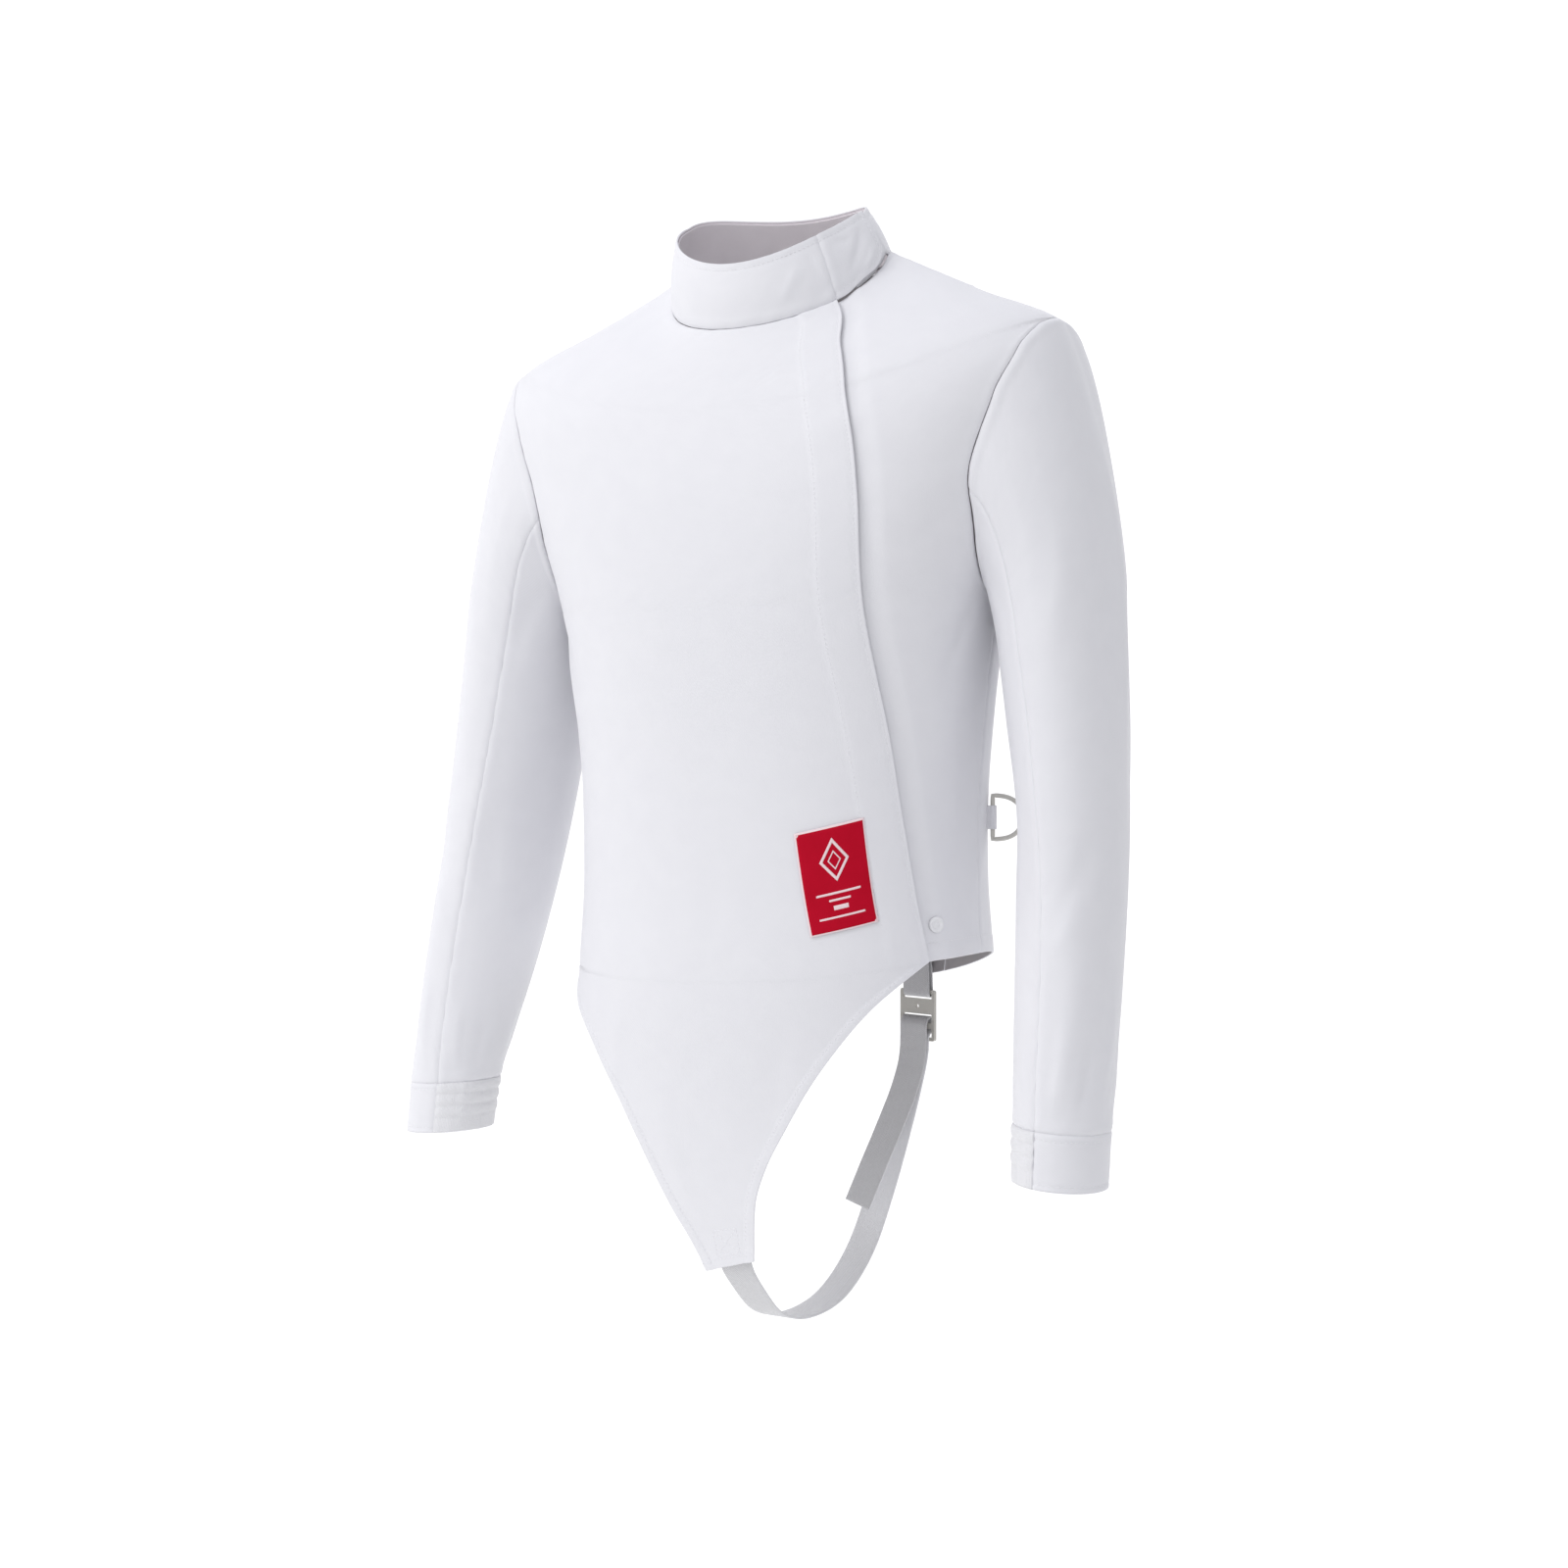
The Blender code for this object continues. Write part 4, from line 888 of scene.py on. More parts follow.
def build_back():
    levels = level_rows(HEM_T, NECK_T, PANEL_STEP)
    capped = np.minimum(levels, PRINCESS_T)
    left = 180 - interpolate(PRINCESS, capped, 1)
    right = 180 + interpolate(PRINCESS, capped, 2)
    grid, normals, level = panel_grid(levels, left, right)
    distance = edge_distances(grid)
    run = distance["low"]
    relief = seam_relief(distance["left"], run, 10.0, 0.15)
    relief += seam_relief(distance["right"], run, 11.0, 0.15)
    relief += (band_relief(distance["low"], 14.0, 0.45)
               + stitch_relief(distance["low"], 13.0, distance["left"], 12.0))
    relief += seam_relief(distance["high"], distance["left"], 13.0)
    out = displaced(grid, normals, relief, "back")
    item = shell("back_cloth", out, CLOTH, MATERIALS["cloth"], MATERIALS["inside"])
    finish_cloth(item, out, ["back_panel"])


def build_back_side(side, tag):
    levels = level_rows(HEM_T, PRINCESS_T, PANEL_STEP)
    outer = 180 - side * (90 - armhole_offset(levels, 2))
    inner = 180 - side * interpolate(PRINCESS, levels, 1 if side > 0 else 2)
    left, right = (outer, inner) if side > 0 else (inner, outer)
    grid, normals, level = panel_grid(levels, left, right)
    distance = edge_distances(grid)
    run = distance["low"]
    near_back = distance["right"] if side > 0 else distance["left"]
    near_side = distance["left"] if side > 0 else distance["right"]
    relief = seam_relief(near_back, run, 14.0 + side, 0.2)
    relief += band_relief(near_back, 5.5, 0.4) + stitch_relief(near_back, 5.0, run, 15.0 + side)
    relief += seam_relief(near_side, run, 16.0 + side)
    relief += (band_relief(distance["low"], 14.0, 0.45)
               + stitch_relief(distance["low"], 13.0, distance["left"], 17.0 + side))
    out = displaced(grid, normals, relief, "back_side_" + tag)
    item = shell("back_side_cloth_" + tag, out, CLOTH, MATERIALS["cloth"], MATERIALS["inside"])
    finish_cloth(item, out, ["back_side_" + tag])


# Sleeves

CAP_ROWS = 46
SLEEVE_ROWS = 116
CAP_OUT = 0.92
CAP_OUT_LOW = 0.75
CAP_DOWN = 0.45
CAP_DOWN_LOW = 0.35
CAP_PULL = 0.9
CAP_PULL_TOP = 0.58
CAP_ARRIVE_TOP = 0.35
CAP_GAP = 0.48
CUFF_REACH = 1.0
SLEEVE_FOLDS = (
    # angle, spread, begin, end, height
    (20, 16, 0.10, 0.62, 2.2),
    (-22, 14, 0.16, 0.74, -2.0),
    (-60, 14, 0.30, 0.95, 1.8),
    (110, 16, 0.36, 0.70, 1.8),
    (165, 18, 0.40, 0.66, -2.2),
    (75, 14, 0.62, 0.98, 1.4),
)


def armhole_curve(side, angles):
    """Armhole points and torso normals for sleeve angles, 0 at the top and 180 below."""
    count = 240
    share = (1 - np.cos(np.linspace(0, math.pi, count))) / 2
    down = SHOULDER_T - (SHOULDER_T - ARMPIT_T) * share
    up = down[::-1]
    torso = np.concatenate([90 - armhole_offset(down, 1), 90 + armhole_offset(up, 2)[1:]])
    level = np.concatenate([down, up[1:]])
    line = torso_base(torso * side, level)
    steps = np.linalg.norm(np.diff(line, axis=0), axis=-1)
    run = np.concatenate([[0.0], np.cumsum(steps)])
    low = run[count - 1]
    shown = np.where(np.arange(len(run)) < count, 180 * run / low,
                     180 + 180 * (run - low) / (run[-1] - low))
    wanted = np.asarray(angles) % 360
    torso_at = np.interp(wanted, shown, torso)
    level_at = np.interp(wanted, shown, level)
    return torso_point(torso_at * side, level_at), torso_normal(torso_at * side, level_at)


def sleeve_section(side, reach, angle):
    """Points of the sleeve tube."""
    reach, angle = np.broadcast_arrays(np.asarray(reach, float), np.asarray(angle, float))
    x, y, z, half_x, half_y, twist, tilt = (
        interpolate(SLEEVE_RINGS, reach, column, even=True) for column in range(1, 8))
    off = wrap(angle - BACK_SEAM_ANGLE)
    drift = interpolate(BACK_SEAM_DRIFT, reach, 1) * np.exp(-(off / BACK_SEAM_SPREAD) ** 2)
    angle = angle + drift
    a = np.radians(angle)
    local_x = half_x * np.cos(a)
    local_y = -half_y * np.sin(a)
    t = np.radians(twist)
    px = local_x * np.cos(t) - local_y * np.sin(t)
    py = local_x * np.sin(t) + local_y * np.cos(t)
    fold = np.zeros(reach.shape)
    for centre, spread, begin, end, height in SLEEVE_FOLDS:
        fade = (reach - (begin + end) / 2) / ((end - begin) / 2)
        strength = np.where(np.abs(fade) < 1, np.cos(np.clip(fade, -1, 1) * math.pi / 2) ** 2, 0.0)
        fold += height * np.exp(-(wrap(angle - centre) / spread) ** 2) * strength
    px = px + np.cos(a) * fold
    py = py - np.sin(a) * fold
    return np.stack([side * (x + px), y + py, z + tilt * local_x / half_x], axis=-1) * MM


def sleeve_tube(side, angles):
    """Rows of points from the armhole to the wrist seam."""
    start, normal = armhole_curve(side, angles)
    first = SLEEVE_RINGS[0][0]
    start = start + np.array([side, 0, 0]) * CAP_GAP * MM
    end = sleeve_section(side, first, angles)
    beyond = sleeve_section(side, first + 0.02, angles)
    span = np.linalg.norm(end - start, axis=-1, keepdims=True)
    lift = np.cos(np.radians(angles))
    top = np.maximum(lift, 0.0)[:, None]
    low = np.maximum(-lift, 0.0)[:, None]
    out = np.concatenate([side * (CAP_OUT - CAP_OUT_LOW * low), np.zeros_like(low),
                          -CAP_DOWN - CAP_DOWN_LOW * low], axis=1)
    tangent = out - normal * (out * normal).sum(axis=-1, keepdims=True) * top
    tangent = unit(tangent) * span * (CAP_PULL - CAP_PULL_TOP * top)
    arrive = unit(beyond - end) * span * (CAP_PULL - CAP_ARRIVE_TOP * top)
    rows = []
    for u in np.linspace(0, 1, CAP_ROWS + 1) ** 1.15:
        rows.append(start * (1 + 2 * u) * (1 - u) ** 2 + tangent * u * (1 - u) ** 2
                    + end * u * u * (3 - 2 * u) + arrive * u * u * (u - 1))
    for k in range(1, SLEEVE_ROWS + 1):
        reach = first + (CUFF_REACH - first) * k / SLEEVE_ROWS
        rows.append(sleeve_section(side, reach, angles))
    return np.array(rows)


def sleeve_order(grid, side):
    """Turn rows and columns so that the normals face out."""
    grid = grid[::-1]
    normals = grid_normals(grid)
    middle = grid.mean(axis=1, keepdims=True)
    if (normals * (grid - middle)).sum() < 0:
        grid = grid[:, ::-1]
    return grid


def build_sleeve_piece(name, side, begin, end, node, seed):
    """One of the two pieces of a sleeve, between two seam angles."""
    width = (end - begin) % 360
    count = int(width * 1.15 / PANEL_STEP)
    shares = edge_shares(width * 1.05, count)
    angles = begin + width * shares
    tube = sleeve_tube(side, angles)
    normals = grid_normals(tube[::-1])[::-1]
    middle = tube.mean(axis=1, keepdims=True)
    centre = sleeve_tube(side, np.linspace(0, 350, 24)).mean(axis=1, keepdims=True)
    if (normals * (tube - centre)).sum() < 0:
        normals = -normals
    distance = edge_distances(tube)
    height = tube[..., 2] / MM
    armhole = distance["low"]
    creases = crease_field(SLEEVE_CREASES, np.broadcast_to(angles, height.shape), height,
                           SLEEVE_MM_PER_DEGREE)
    relief = creases * smooth_step(armhole / 30.0)
    relief += seam_relief(distance["left"], armhole, seed)
    relief += seam_relief(distance["right"], armhole, seed + 1)
    relief += seam_relief(armhole, distance["left"], seed + 2, 0.8)
    relief += seam_relief(distance["high"], distance["left"], seed + 3)
    out = tube + normals * relief[..., None] * MM
    flipped = out[::-1]
    check = grid_normals(flipped)
    if (check * (flipped - centre[::-1])).sum() < 0:
        flipped = flipped[:, ::-1]
    PANELS[name] = {"grid": flipped, "normals": grid_normals(flipped)}
    item = shell(name, flipped, CLOTH, MATERIALS["cloth"], MATERIALS["inside"])
    finish_cloth(item, flipped, [node])


CUFF_ROWS = 34
CUFF_END = 1.10


def build_cuff_piece(name, side, begin, end, node, ribbed, seed):
    """Half of a cuff. The ribbed half has three ridges and a soft band at the edge."""
    width = (end - begin) % 360
    count = int(width * 0.65 / 2.2)
    angles = begin + width * edge_shares(width * 0.62, count)
    reaches = np.linspace(CUFF_REACH, CUFF_END, CUFF_ROWS + 1)
    tube = np.array([sleeve_section(side, reach, angles) for reach in reaches])
    centre = np.array([sleeve_section(side, reach, np.linspace(0, 350, 24)).mean(axis=0)
                       for reach in reaches])[:, None]
    normals = grid_normals(tube)
    if (normals * (tube - centre)).sum() < 0:
        normals = -normals
    distance = edge_distances(tube)
    down = np.linspace(0, 1, CUFF_ROWS + 1)[:, None]
    relief = seam_relief(distance["left"], distance["low"], seed)
    relief += seam_relief(distance["right"], distance["low"], seed + 1)
    if ribbed:
        ridges = np.abs(np.sin(math.pi * down * 3 / 0.72)) ** 0.7 * 1.3
        soft = 0.6 + 0.25 * pucker(distance["left"], seed)
        relief += np.where(down < 0.72, ridges, soft)
        gather = 0.25 * pucker(distance["left"] * 1.6, seed + 2)
        relief += gather
    else:
        relief += seam_relief(distance["low"], distance["left"], seed + 2)
        relief += stitch_relief(distance["low"], 5.0, distance["left"], seed + 3)
        relief += stitch_relief(distance["high"], 4.0, distance["left"], seed + 4)
    out = tube + normals * relief[..., None] * MM
    flipped = out[::-1]
    if (grid_normals(flipped) * (flipped - centre[::-1])).sum() < 0:
        flipped = flipped[:, ::-1]
    PANELS[name] = {"grid": flipped, "normals": grid_normals(flipped)}
    kind = "elastic" if ribbed else "cloth"
    item = shell(name, flipped, CLOTH, MATERIALS[kind], MATERIALS["inside"])
    finish_cloth(item, flipped, [node])


def build_sleeves():
    for side, tag in ((1, "left"), (-1, "right")):
        seed = 20.0 + 5 * side
        build_sleeve_piece("sleeve_upper_cloth_" + tag, side, BACK_SEAM_ANGLE, FRONT_SEAM_ANGLE,
                           "sleeve_upper_" + tag, seed)
        build_sleeve_piece("sleeve_under_cloth_" + tag, side, FRONT_SEAM_ANGLE,
                           BACK_SEAM_ANGLE + 360, "sleeve_under_" + tag, seed + 30)
        build_cuff_piece("cuff_cloth_" + tag, side, BACK_SEAM_ANGLE, FRONT_SEAM_ANGLE,
                         "cuff_band_" + tag, False, seed + 50)
        build_cuff_piece("cuff_ribbed_" + tag, side, FRONT_SEAM_ANGLE, BACK_SEAM_ANGLE + 360,
                         "cuff_elastic_" + tag, True, seed + 60)


# Collar

COLLAR_JOIN = 50.0
COLLAR_UNDER_END = -296.0
COLLAR_TAB_END = 84.0
COLLAR_TUCK = LAP_DROP + 0.5
COLLAR_TOP = {
    # sizes of the top edge in millimetres, heights from the neck base
    "half_width": 80.0,
    "front_depth": 75.0,
    "back_depth": 50.0,
    "forward": 6.0,
    "to_right": 6.0,
    "front_height": -18.0,
    "side_height": 34.0,
    "back_height": 46.0,
    "lean": 3.0,
    "bulge": 2.5,
}


def collar_point(angle, share):
    """Points of the stand collar, from its base at share 0 to its top edge at share 1."""
    a = np.radians(angle)
    facing = np.cos(a)
    depth = np.where(facing > 0, COLLAR_TOP["front_depth"], COLLAR_TOP["back_depth"])
    half_rise = (COLLAR_TOP["back_height"] - COLLAR_TOP["front_height"]) / 2
    middle = (COLLAR_TOP["back_height"] + COLLAR_TOP["front_height"]) / 2
    height = (COLLAR_TOP["side_height"] - half_rise * facing
              + (middle - COLLAR_TOP["side_height"]) * facing * facing
              - COLLAR_TOP["lean"] * np.sin(a))
    top = np.stack([COLLAR_TOP["half_width"] * np.sin(a) - COLLAR_TOP["to_right"],
                    -depth * facing - COLLAR_TOP["forward"], height], axis=-1) * MM
    out = np.stack([np.sin(a), -facing, np.zeros_like(a)], axis=-1)
    bulge = out * COLLAR_TOP["bulge"] * MM * np.sin(math.pi * share)[..., None]
    start = torso_base(angle, np.full(np.shape(angle), NECK_T)) + np.array([0, 0, 0.0003])
    return start + (top - start) * np.asarray(share)[..., None] + bulge


def collar_normal(angle, share):
    turn = collar_point(angle + 1, share) - collar_point(angle - 1, share)
    rise = collar_point(angle, share + 0.02) - collar_point(angle, share - 0.02)
    return unit(np.cross(turn, rise))


def collar_tuck(angle):
    return -COLLAR_TUCK * smooth_step((-angle - 236.0) / 36.0)


def tab_lift(angle):
    return 3.5 * smooth_step((angle - 60.0) / 28.0)


def tab_low(angle):
    corner = np.maximum(angle - COLLAR_TAB_END + 9.0, 0.0) / 9.0
    return 0.08 * smooth_step((angle - 54.0) / 16.0) + 0.16 * corner * corner


COLLAR_CREASES = (
    # angle, height share, end angle, end share, width, rise, bow
    (20, 0.15, 38, 0.8, 4, 0.8, 1),
    (42, 0.9, 47, 0.3, 3, -0.5, 1),
    (-30, 0.2, -55, 0.75, 6, -0.45, 2),
    (60, 0.25, 78, 0.85, 4, -1.2, 1),
    (66, 0.1, 80, 0.45, 3, 0.9, 1),
    (54, 0.85, 70, 0.7, 3, -0.7, 1),
    (-150, 0.2, -170, 0.8, 7, 0.5, 2),
    (-195, 0.2, -215, 0.8, 6, -0.5, 2),
)


def collar_grid(first, last, lift, low, high=1.0, depth=0.0):
    run = abs(last - first) * 1.45
    angles = first + (last - first) * edge_shares(run, int(run / 2.4))
    shares = edge_shares(50.0, 14)
    angle = np.broadcast_to(angles, (len(shares), len(angles)))
    base = low(angle)
    share = base + (high - base) * shares[:, None]
    normals = collar_normal(angle, share)
    distance_low = (share - base) * 50.0
    creases = crease_field([(a, s * 50, b, t * 50, w, r, c) for a, s, b, t, w, r, c in COLLAR_CREASES],
                           angle, share * 50.0, 1.45)
    height = lift(angle) + creases - depth
    return collar_point(angle, share) + normals * height[..., None] * MM, normals, distance_low


def build_collar():
    grid, normals, _ = collar_grid(COLLAR_UNDER_END, COLLAR_JOIN, collar_tuck, np.zeros_like)
    distance = edge_distances(grid)
    relief = seam_relief(distance["low"], distance["left"], 80.0, 0.5)
    relief += seam_relief(distance["right"], distance["low"], 81.0, 0.3)
    relief += stitch_relief(distance["high"], 5.0, distance["left"], 82.0)
    out = displaced(grid, normals, relief, "collar")
    item = shell("collar_cloth", out, CLOTH, MATERIALS["cloth"], MATERIALS["lining"])
    finish_cloth(item, out, ["collar"])
    grid, normals, _ = collar_grid(COLLAR_UNDER_END + 2, COLLAR_JOIN - 2, collar_tuck,
                                   lambda a: np.full_like(a, 0.05), 0.965, 2.2)
    out = displaced(grid, normals, np.zeros(grid.shape[:2]), "lining")
    item = shell("collar_lining_sheet", out, 0.8 * MM, MATERIALS["lining"], MATERIALS["lining"])
    finish_cloth(item, out, ["collar_lining"])
    grid, normals, _ = collar_grid(COLLAR_JOIN, COLLAR_TAB_END, tab_lift, tab_low)
    distance = edge_distances(grid)
    relief = seam_relief(distance["left"], distance["low"], 83.0, 0.5)
    relief += stitch_relief(distance["high"], 5.0, distance["left"], 84.0)
    relief += stitch_relief(distance["right"], 5.0, distance["low"], 85.0)
    relief += stitch_relief(distance["low"], 5.0, distance["left"], 86.0)
    out = displaced(grid, normals, relief, "tab")
    item = shell("collar_tab_cloth", out, CLOTH, MATERIALS["cloth"], MATERIALS["cloth"])
    finish_cloth(item, out, ["collar_tab"])


# Label and snap

LABEL_CENTRE_ANGLE = 32.8
LABEL_LEVEL = 4.99
LABEL_TILT = -9.0


def label_place(u, v, lift):
    """Points over the front at label coordinates in millimetres from its centre."""
    centre = np.array(LABEL_CENTRE_ANGLE)
    level = np.array(LABEL_LEVEL)
    point = torso_base(centre, level)
    per_degree = np.linalg.norm(torso_base(centre + 1, level) - point)
    per_level = np.linalg.norm(torso_base(centre, level + 0.05) - point) / 0.05
    lean = math.radians(LABEL_TILT)
    s = (u * math.cos(lean) + v * math.sin(lean)) * MM
    r = (-u * math.sin(lean) + v * math.cos(lean)) * MM
    angle = centre + s / per_degree
    high = level + r / per_level
    normal = torso_normal(angle, high)
    return torso_point(angle, high) + normal * (np.asarray(lift) * MM)[..., None]


def label_patch(name, half_u, half_v, u0, v0, lift, thickness, colour, columns=12, rows=16):
    """Rounded slab of woven label that follows the cloth."""
    u = np.linspace(-half_u, half_u, columns + 1)
    v = np.linspace(-half_v, half_v, rows + 1)
    uu, vv = np.meshgrid(u, v)
    edge = np.minimum(half_u - np.abs(uu), half_v - np.abs(vv))
    height = lift - 0.2 * np.exp(-(edge / 0.5) ** 2)
    grid = label_place(uu + u0, vv + v0, height)
    return shell(name, grid, thickness * MM, MATERIALS[colour], MATERIALS[colour]), grid


def build_label():
    """Red woven label with a pale border and plain generic bars and lozenges."""
    base, grid = label_patch("label_ground", 25.5, 40, 0, 0, 1.6, 0.6, "pale", 30, 44)
    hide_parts("label")
    parts = []
    parts.append(label_patch("label_field", 24.3, 38.7, 0, 0, 1.75, 0.3, "red", 30, 44)[0])
    for number, (u0, v0, half_u, half_v) in enumerate((
            (0, -7.0, 16.5, 0.9),
            (0, -12.5, 8.0, 0.9),
            (0, -19.0, 5.5, 1.9),
            (0, -27.0, 17.0, 0.9))):
        parts.append(label_patch("label_bar_%d" % number, half_u, half_v, u0, v0, 1.95, 0.2,
                                 "pale", 30, 4)[0])
    for number, (u0, v0, size) in enumerate(((0, 17, 11.0), (0, 17, 5.0))):
        parts.append(lozenge("label_lozenge_%d" % number, u0, v0, size))
    for part in [base] + parts:
        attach(part, JACKET)
    declare_sheet(grid)


def lozenge(name, u0, v0, size):
    """Plain raised lozenge outline of the label."""
    vertices, faces = [], []
    steps = 12
    corners = ((size, 0), (0, size * 1.4), (-size, 0), (0, -size * 1.4))
    outline = []
    for k in range(4):
        a, b = corners[k], corners[(k + 1) % 4]
        for j in range(steps):
            outline.append((a[0] + (b[0] - a[0]) * j / steps, a[1] + (b[1] - a[1]) * j / steps))
    rings = ((1.0, 1.75), (0.97, 2.0), (0.80, 2.0), (0.77, 1.75))
    for share, lift in rings:
        uu = np.array([p[0] * share + u0 for p in outline])
        vv = np.array([p[1] * share + v0 for p in outline])
        vertices += list(label_place(uu, vv, np.full(len(outline), lift)))
    count = len(outline)
    for ring in range(len(rings)):
        low = ring * count
        high = ((ring + 1) % len(rings)) * count
        for k in range(count):
            j = (k + 1) % count
            faces.append((low + k, low + j, high + j, high + k))
    uvs = [(v[0], v[2]) for v in vertices]
    return make_mesh(name, vertices, faces, uvs, materials=(MATERIALS["pale"],))


def turned_piece(name, foot, normal, profile, sides, material):
    """Round piece about an axis, from radii and heights in millimetres."""
    normal = unit(np.array(normal))
    side = unit(np.cross([0.0, 0.0, 1.0], normal))
    rise = np.cross(normal, side)
    vertices, faces = [foot], []
    for radius, height in profile:
        for k in range(sides):
            a = 2 * math.pi * k / sides
            flat = side * math.cos(a) + rise * math.sin(a)
            vertices.append(foot + flat * radius * MM + normal * height * MM)
    vertices.append(foot + normal * profile[-1][1] * MM)
    for k in range(sides):
        j = (k + 1) % sides
        faces.append((0, 1 + j, 1 + k))
        for ring in range(len(profile) - 1):
            a = 1 + ring * sides
            faces.append((a + k, a + j, a + sides + j, a + sides + k))
        top = 1 + (len(profile) - 1) * sides
        faces.append((top + k, top + j, len(vertices) - 1))
    return make_mesh(name, vertices, faces, materials=(material,))


BUTTON_ANGLE = 66.8
BUTTON_LEVEL = 4.42


def build_button():
    angle = np.array([BUTTON_ANGLE, BUTTON_ANGLE + 2, BUTTON_ANGLE - 2, BUTTON_ANGLE, BUTTON_ANGLE])
    level = np.array([BUTTON_LEVEL] * 3 + [BUTTON_LEVEL + 0.1, BUTTON_LEVEL - 0.1])
    points = torso_point(angle, level)
    points = points - torso_normal(angle, level) * under_drop(angle, level)[:, None]
    normal = np.cross(points[1] - points[2], points[3] - points[4])
    profile = ((6.0, 0.2), (6.0, 1.1), (5.8, 1.6), (5.3, 2.0), (4.6, 2.1), (4.0, 2.0), (3.5, 1.6),
               (3.2, 1.35), (2.4, 1.3), (2.0, 1.4), (1.2, 1.75), (0.5, 1.85))
    item = turned_piece("snap_cap", points[0], normal, profile, 48, MATERIALS["snap"])
    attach(item, JACKET)
    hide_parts("button")


# Webbing and buckle

STRAP_PATH = (
    # x, y, z
    (-2, -81.5, -768),
    (-2, -78.5, -790),
    (0, -62, -812),
    (3, -32, -838),
    (9, 6, -848),
    (19, 48, -840),
    (29, 82, -810),
    (40, 101, -762),
    (54, 107.5, -706),
    (66, 107.6, -658),
)
STRAP_WRAP = (
    # depth, height
    (-3.0, -26),
    (-2.9, -19),
    (-1.4, -14.8),
    (1.4, -12.3),
    (3.1, -9.6),
    (2.9, -3.6),
    (0.6, -0.6),
    (-3.4, -1.6),
    (-5.6, -6.2),
    (-6.0, -14),
    (-6.4, -26),
)
TAIL_PATH = (
    # x, depth, height
    (-1, -8.5, -42),
    (-6, -13.5, -66),
    (-14, -22, -95),
    (-21, -34, -126),
    (-27, -46, -156),
)
LOOP_PATH = (
    # depth, height
    (-4.6, 60),
    (-3.0, 42),
    (-2.4, 26),
    (-2.3, 20),
    (-1.7, 17.2),
    (0.0, 16.4),
    (1.7, 17.2),
    (2.3, 20),
    (2.0, 26),
    (1.0, 42),
    (-2.4, 60),
)
STRAP_WIDTH = 29.0
BUCKLE_CENTRE = np.array([70.0, 110.6, -614.0])
BUCKLE_TURN = math.radians(-18.0)


def buckle_across():
    return np.array([math.cos(BUCKLE_TURN), math.sin(BUCKLE_TURN), 0.0])


def at_buckle(x, depth, height):
    across = buckle_across()
    out = np.array([-across[1], across[0], 0.0])
    return (BUCKLE_CENTRE + across * x + out * depth + np.array([0, 0, height])) * MM


def curve_points(points, count):
    """Evenly spaced points on a smooth curve through the given points."""
    points = np.array(points, dtype=float)
    dense = []
    for index in range(len(points) - 1):
        p0, p1 = points[max(index - 1, 0)], points[index]
        p2, p3 = points[index + 1], points[min(index + 2, len(points) - 1)]
        for k in range(16):
            u = k / 16
            dense.append(0.5 * (2 * p1 + (p2 - p0) * u + (2 * p0 - 5 * p1 + 4 * p2 - p3) * u * u
                                + (3 * p1 - 3 * p2 + p3 - p0) * u ** 3))
    dense.append(points[-1])
    dense = np.array(dense)
    run = np.concatenate([[0.0], np.cumsum(np.linalg.norm(np.diff(dense, axis=0), axis=-1))])
    spots = np.linspace(0, run[-1], count + 1)
    return np.stack([np.interp(spots, run, dense[:, k]) for k in range(3)], axis=-1)


def ribbon(name, centre, width, thickness, first_across, last_across, upper, under):
    """Flat webbing with rounded selvedges along a centre line, with a material for each side."""
    along = unit(np.gradient(centre, axis=0))
    blend = smooth_step(np.arange(len(centre)) / (len(centre) * 0.4))[:, None]
    across = first_across * (1 - blend) + last_across * blend
    wide = unit(across - along * (across * along).sum(axis=-1, keepdims=True))
    thin = np.cross(along, wide)
    half = width / 2
    section = [(-half, 0.0), (-half + 0.25, 0.6), (-half + 0.9, 1.0)]
    inner = np.linspace(-half + 2.2, half - 2.2, 9)
    section += [(x, 1.0) for x in inner]
    section += [(half - 0.9, 1.0), (half - 0.25, 0.6), (half, 0.0)]
    section += [(x, -h) for x, h in section[-2:0:-1]]
    count = len(section)
    vertices, uvs, faces, sides = [], [], [], []
    run = np.concatenate([[0.0], np.cumsum(np.linalg.norm(np.diff(centre, axis=0), axis=-1))])
    for index in range(len(centre)):
        for x, h in section:
            vertices.append(centre[index] + wide[index] * x * MM
                            + thin[index] * h * thickness / 2 * MM)
            uvs.append((x * MM, run[index]))
    for index in range(len(centre) - 1):
        low = index * count
        for k in range(count):
            j = (k + 1) % count
            faces.append((low + k, low + j, low + count + j, low + count + k))
            sides.append(0 if section[k][1] + section[j][1] > 0 else 1)
    last = (len(centre) - 1) * count
    faces.append(tuple(range(count - 1, -1, -1)))
    faces.append(tuple(last + k for k in range(count)))
    item = make_mesh(name, vertices, faces, uvs, sides + [0, 0], materials=(upper, under))
    work = bmesh.new()
    work.from_mesh(item.data)
    bmesh.ops.recalc_face_normals(work, faces=work.faces)
    work.to_mesh(item.data)
    work.free()
    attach(item, JACKET)
    PANELS[name] = {"centre": centre, "wide": wide, "thin": thin}
    return item, float(run[-1])


def strap_centre():
    low = [np.array(row) * MM for row in STRAP_PATH]
    wrapped = [at_buckle(0, depth, height) for depth, height in STRAP_WRAP]
    tail = [at_buckle(*row) for row in TAIL_PATH]
    return np.concatenate([curve_points(low + wrapped[:1], 150)[:-1], curve_points(wrapped, 90),
                           curve_points(wrapped[-1:] + tail, 70)[1:]])


